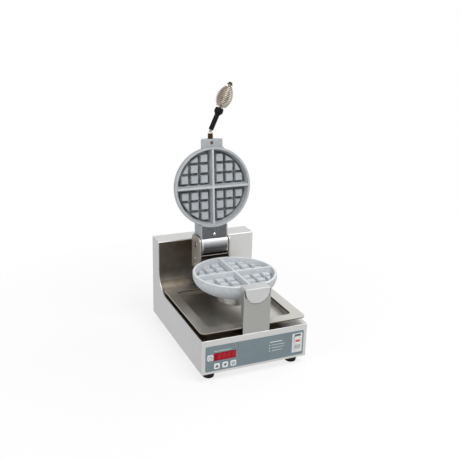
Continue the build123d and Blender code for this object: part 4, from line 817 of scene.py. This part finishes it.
class BAKER_OT_key_marks(bpy.types.Operator):
    """Arrows, clock and list mark on the push keys, each riding on its key"""
    bl_idname = "baker.key_marks"
    bl_label = "Key Marks"

    def execute(self, context):
        panel = context.scene.baker_panel
        ink = moulded("key_ink", (0.05, 0.065, 0.075), (0.06, 0.075, 0.085), 0.5, 0.0005, 0.05)
        arrow = np.array([(-0.0042, -0.0028), (0.0042, -0.0028), (0.0, 0.0040)])
        hands = bar((0.0009, 0.0034, 0.0003), 0, 0.0012), bar((0.0028, 0.0009, 0.0003), 0.0010, -0.0001)
        marks = {
            "key_up": [(plate, arrow)],
            "key_down": [(plate, arrow[::-1] * (1, -1))],
            "key_menu": [(plate, bar((0.0082, 0.0013, 0.0004), 0, y)) for y in (-0.0029, 0, 0.0029)],
            "key_timer": [(band, circle(0.0047), circle(0.0037))] + [(plate, hand) for hand in hands],
        }
        for key, shapes in marks.items():
            parts = [shape(*outlines, front_face(key), panel.ink_thick) for shape, *outlines in shapes]
            mesh_piece(key + "_mark", *join(parts), key, "key_white", ink)
        return {"FINISHED"}


def front_line(node_name, spots, share):
    """Depth of a node's front outline at given heights: the lowest y of its points at each height, joined by lines.
    Only the front share of the node counts, so that the rocker's pivot pins are left out."""
    points = node_points(node_name)
    low, high = (np.array(corner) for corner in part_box(node_name))
    front = points[points[:, Y] < low[Y] + (high[Y] - low[Y]) * share]
    heights = np.unique(np.round(front[:, Z], 5))
    match = np.abs(front[:, Z][:, None] - heights[None]) < 2e-5
    depth = np.where(match, front[:, Y][:, None], np.inf).min(axis=0)
    return np.interp(spots, heights, depth)


# The skins on the rocker: points across and up, the share of the rocker that is its front, and in ink thicknesses
# how far a skin stands off and how thick it is
SKIN_WIDE, SKIN_TALL, ROCKER_FRONT, SKIN_OFF, SKIN_THICK = 9, 5, 0.37, 3.0, 4.5
# The orange mark over the rocker's middle and the ribs under it: widths in half rockers, the rest in metres
MARK_WIDE, MARK_TALL, MARK_RISE = 1.15, 0.0050, 0.0066
RIB_WIDE, RIB_TALL, RIBS, RIB_DROP, RIB_PITCH = 1.5, 0.0010, 5, 0.0050, 0.0021


def rocker_skin(name, width, z, tall, material, ink_thick):
    """A bar that follows the rocker's front: across, z and the front line at z, a hair in front of it."""
    u, v = np.meshgrid(np.linspace(-0.5, 0.5, SKIN_WIDE), np.linspace(-0.5, 0.5, SKIN_TALL), indexing="ij")
    height = z + v * tall
    depth = front_line("switch_rocker", height.ravel(), ROCKER_FRONT).reshape(height.shape)
    x = middle("switch_rocker")[X] + u * width
    skin = np.stack([x, depth - ink_thick * SKIN_OFF, height], axis=-1).reshape(-1, 3)
    back = skin + (0.0, ink_thick * SKIN_THICK, 0.0)
    index = np.arange(SKIN_WIDE * SKIN_TALL).reshape(SKIN_WIDE, SKIN_TALL)
    quad = np.column_stack([c.ravel() for c in (index[:-1, :-1], index[1:, :-1], index[1:, 1:], index[:-1, 1:])])
    rim = np.concatenate([index[:, 0], index[-1, 1:], index[-2::-1, -1], index[0, -2:0:-1]])
    after = np.roll(rim, -1)
    edge = np.column_stack([after, rim, rim + index.size, after + index.size])
    faces = quad.tolist() + (quad[:, ::-1] + index.size).tolist() + edge.tolist()
    mesh_piece(name, np.vstack([skin, back]), faces, "switch_rocker", "key_white", material)


class BAKER_OT_rocker_mark(bpy.types.Operator):
    """Orange mark and grip ribs on the power rocker, and the dark bar printed on its bezel"""
    bl_idname = "baker.rocker_mark"
    bl_label = "Rocker Mark"

    def execute(self, context):
        thick = context.scene.baker_panel.ink_thick
        low, high = (np.array(corner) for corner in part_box("switch_rocker"))
        half, z = (high[X] - low[X]) / 2, (low[Z] + high[Z]) / 2
        orange = moulded("rocker_orange", (0.72, 0.075, 0.025), (0.62, 0.06, 0.02), 0.5, 0.0006, 0.05, shine=0.2)
        grey = moulded("rocker_grip", (0.36, 0.36, 0.37), (0.30, 0.30, 0.31), 0.5, 0.0006, 0.1)
        rocker_skin("rocker_mark", half * MARK_WIDE, z + MARK_RISE, MARK_TALL, orange, thick)
        for index in range(RIBS):
            rib = z - RIB_DROP - index * RIB_PITCH
            rocker_skin("rocker_rib_%d" % (index + 1), half * RIB_WIDE, rib, RIB_TALL, grey, thick)
        dark = moulded("bezel_print", (0.030, 0.031, 0.034), (0.05, 0.052, 0.055), 0.5, 0.0006, 0.05, shine=0.2)
        printed = plate(bar(BEZEL_BAR, *BEZEL_BAR_AT), front_face("switch_bezel"), thick)
        mesh_piece("bezel_bar", *printed, "base", "bezel_grey", dark)
        return {"FINISHED"}


# Recesses, painted as dark skins of shade: the skin's thickness, how close to the outermost point a screw's face
# lies, how far a head's points may lie from its middle or from each other, and how far a column of heads is wide on
# each side
RECESS_THICK, FACE_CLOSE, HEAD_SPAN, COLUMN_HALF = 0.00015, 1e-5, 0.006, 0.008
CROSS = np.array([(0.4, 0.4), (0.4, 1.6), (-0.4, 1.6), (-0.4, 0.4), (-1.6, 0.4), (-1.6, -0.4), (-0.4, -0.4),
                  (-0.4, -1.6), (0.4, -1.6), (0.4, -0.4), (1.6, -0.4), (1.6, 0.4)]) * 0.001
# The slots in the yoke's cheeks, behind the hinge pin, filled with painted shade: width, height, corner and its
# points, their y, and their rise or drop from the pin's height
CHEEK_SLOT, SLOT_Y, SLOT_RISE = (0.0070, 0.0048, 0.0023, 8), 0.1000, 0.0048


def outermost(points, out):
    """The points that lie on a node's outermost face in a direction."""
    reach = points @ out
    return points[reach > reach.max() - FACE_CLOSE]


def heads(face):
    """The middle of each head in a column of screw heads, from their points."""
    return [face[np.abs(face[:, Z] - z) < HEAD_SPAN].mean(axis=0) for z in cluster(face[:, Z], HEAD_SPAN)]


class BAKER_OT_recesses(bpy.types.Operator):
    """Painted shade: dark skins for the cross recesses in the screws and for the punched slots in the yoke's cheeks
    """
    bl_idname = "baker.recesses"
    bl_label = "Screw Recesses"

    def execute(self, context):
        # dark: painted shade for the recesses and slots
        dark = cast_iron("recess_shade", (0.010, 0.010, 0.010), (0.03, 0.028, 0.025), roughness=0.7)
        cover = outermost(node_points("neck_cover_screw"), LID_OUT).mean(axis=0)
        mesh_piece("cover_screw_cross", *plate(CROSS, (cover, (1, 0, 0), LID_UP, LID_OUT), RECESS_THICK), "lid",
                   "screws", dark)
        back = outermost(node_points("rear_screws"), (0, 1, 0))
        parts = []
        for x in (back[:, X].min(), back[:, X].max()):
            for spot in heads(back[np.abs(back[:, X] - x) < COLUMN_HALF]):
                parts.append(plate(CROSS, (spot, (-1, 0, 0), (0, 0, 1), (0, 1, 0)), RECESS_THICK))
        mesh_piece("rear_screw_crosses", *join(parts), "base", "screws", dark)
        parts = []
        for side in (-1, 1):
            for spot in heads(outermost(node_points("yoke_screws"), (side, 0, 0))):
                parts.append(plate(CROSS, (spot, (0, side, 0), (0, 0, 1), (side, 0, 0)), RECESS_THICK))
        cheeks = (np.array(corner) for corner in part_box("yoke_bracket"))
        for side, corner in zip((-1, 1), cheeks):
            for z in (HINGE_Z - SLOT_RISE, HINGE_Z + SLOT_RISE):
                cheek = (corner[X], SLOT_Y, z), (0, side, 0), (0, 0, 1), (side, 0, 0)
                parts.append(plate(rounded(*CHEEK_SLOT), cheek, RECESS_THICK))
        mesh_piece("yoke_recesses", *join(parts), "rotor", "screws", dark)
        return {"FINISHED"}


# The floor in metres: half its width, the radii where its own light starts and is full under the object, and
# those where it goes from the contact share to white
FLOOR_HALF, UNDER_OBJECT, ROUND_OBJECT, CONTACT_SHARE = 8, (0.085, 0.120), (0.30, 0.85), 0.78
# Softboxes: name, the lamp setting with its share, width and height, place, and what it looks at, in metres
SOFTBOXES = (("key_softbox", "key", 1.0, (1.2, 0.9), (0.35, -0.9, 2.0), (0.0, 0.0, 0.2)),
             ("fill_softbox", "fill", 1.0, (0.9, 1.4), (-1.9, -0.5, 1.0), (0.0, 0.0, 0.3)),
             ("edge_softbox", "fill", 0.8, (0.6, 1.2), (1.7, 0.5, 1.1), (0.0, 0.0, 0.3)))


def seen_white(tree):
    """1 for rays that see a surface straight, in a reflection or through glass, and 0 for rays that only light."""
    path = tree.nodes.new("ShaderNodeLightPath").outputs
    return most(tree, path["Is Camera Ray"], path["Is Glossy Ray"], path["Is Transmission Ray"])


def mix_shader(tree, share, first, second, surface):
    """Mixes two shader nodes by a share into an output's surface socket."""
    mix = tree.nodes.new("ShaderNodeMixShader")
    for socket, value in zip(mix.inputs, (share, first.outputs[0], second.outputs[0])):
        tree.links.new(value, socket)
    tree.links.new(mix.outputs[0], surface)


def place_looking(new, spot, turn):
    """Links an object to the scene at a spot with a turn."""
    new.location = spot
    new.rotation_mode = "QUATERNION"
    new.rotation_quaternion = turn
    bpy.context.scene.collection.objects.link(new)


class BAKER_OT_studio(bpy.types.Operator):
    """Floor, lamps, surround and camera"""
    bl_idname = "baker.studio"
    bl_label = "Studio"

    def execute(self, context):
        studio = context.scene.baker_studio
        scene = context.scene
        scene.view_settings.view_transform = "Standard"
        floor = bpy.data.meshes.new("floor")
        corners = [(x * FLOOR_HALF, y * FLOOR_HALF, 0) for x, y in ((-1, -1), (1, -1), (1, 1), (-1, 1))]
        floor.from_pydata(corners, [], [(0, 1, 2, 3)])
        ground = bpy.data.objects.new("floor", floor)
        scene.collection.objects.link(ground)
        material, tree, shader, place = new_material("pale_floor")
        dress(tree, shader, Base_Color=(0.86, 0.86, 0.86, 1), Roughness=0.9)
        white = node(tree, "ShaderNodeEmission", Strength=1.0)
        reach = vector_math(tree, "LENGTH", place)["Value"]
        share = times(tree, seen_white(tree), span(tree, reach, *ROUND_OBJECT, CONTACT_SHARE, 1.0),
                      span(tree, reach, *UNDER_OBJECT))
        mix_shader(tree, share, shader, white, tree.nodes["Material Output"].inputs["Surface"])
        floor.materials.append(material)

        world = bpy.data.worlds.new("surround")
        scene.world = world
        world.use_nodes = True
        tree = world.node_tree
        tree.nodes.clear()
        soft = node(tree, "ShaderNodeBackground", Color=(1, 1, 1, 1), Strength=studio.sky)
        white = node(tree, "ShaderNodeBackground", Color=(1, 1, 1, 1), Strength=1.0)
        surface = tree.nodes.new("ShaderNodeOutputWorld").inputs["Surface"]
        mix_shader(tree, seen_white(tree), soft, white, surface)

        for name, setting, share, size, spot, aim in SOFTBOXES:
            lamp = bpy.data.lights.new(name, "AREA")
            lamp.shape = "RECTANGLE"
            lamp.size, lamp.size_y = size
            lamp.energy = getattr(studio, setting) * share
            turn = (Vector(aim) - Vector(spot)).to_track_quat("-Z", "Y")
            place_looking(bpy.data.objects.new(name, lamp), spot, turn)

        camera = bpy.data.cameras.new("camera")
        camera.sensor_width = 36.0
        camera.lens = studio.lens
        ahead = Vector((math.sin(studio.yaw) * math.cos(studio.pitch), math.cos(studio.yaw) * math.cos(studio.pitch),
                        -math.sin(studio.pitch)))
        turn = ahead.to_track_quat("-Z", "Y") @ Quaternion((0, 0, 1), studio.roll)
        scene.camera = bpy.data.objects.new("camera", camera)
        place_looking(scene.camera, studio.spot, turn)
        return {"FINISHED"}


class BAKER_PT_tools(bpy.types.Panel):
    """Lists the baker's operators"""
    bl_label = "Waffle Baker"
    bl_space_type = "VIEW_3D"
    bl_region_type = "UI"
    bl_category = "Waffle Baker"

    def draw(self, context):
        for tool in STEPS:
            self.layout.operator(tool.bl_idname)


GROUPS = {"baker_sheet": BakerSheet, "baker_casting": BakerCasting, "baker_panel": BakerPanel,
          "baker_studio": BakerStudio}
STEPS = [BAKER_OT_sheet, BAKER_OT_castings, BAKER_OT_turned, BAKER_OT_plastics, BAKER_OT_digits, BAKER_OT_panel_marks,
         BAKER_OT_key_marks, BAKER_OT_rocker_mark, BAKER_OT_recesses, BAKER_OT_studio]


def register():
    """Registers the settings, the operators and the panel."""
    for name, kind in GROUPS.items():
        bpy.utils.register_class(kind)
        setattr(bpy.types.Scene, name, PointerProperty(type=kind))
    for tool in STEPS + [BAKER_PT_tools]:
        bpy.utils.register_class(tool)


def unregister():
    """Takes back what register did."""
    for tool in reversed(STEPS + [BAKER_PT_tools]):
        bpy.utils.unregister_class(tool)
    for name, kind in GROUPS.items():
        delattr(bpy.types.Scene, name)
        bpy.utils.unregister_class(kind)


def main():
    """Runs every operator."""
    register()
    for tool in STEPS:
        area, name = tool.bl_idname.split(".")
        getattr(getattr(bpy.ops, area), name)()


if __name__ == "__main__":
    main()
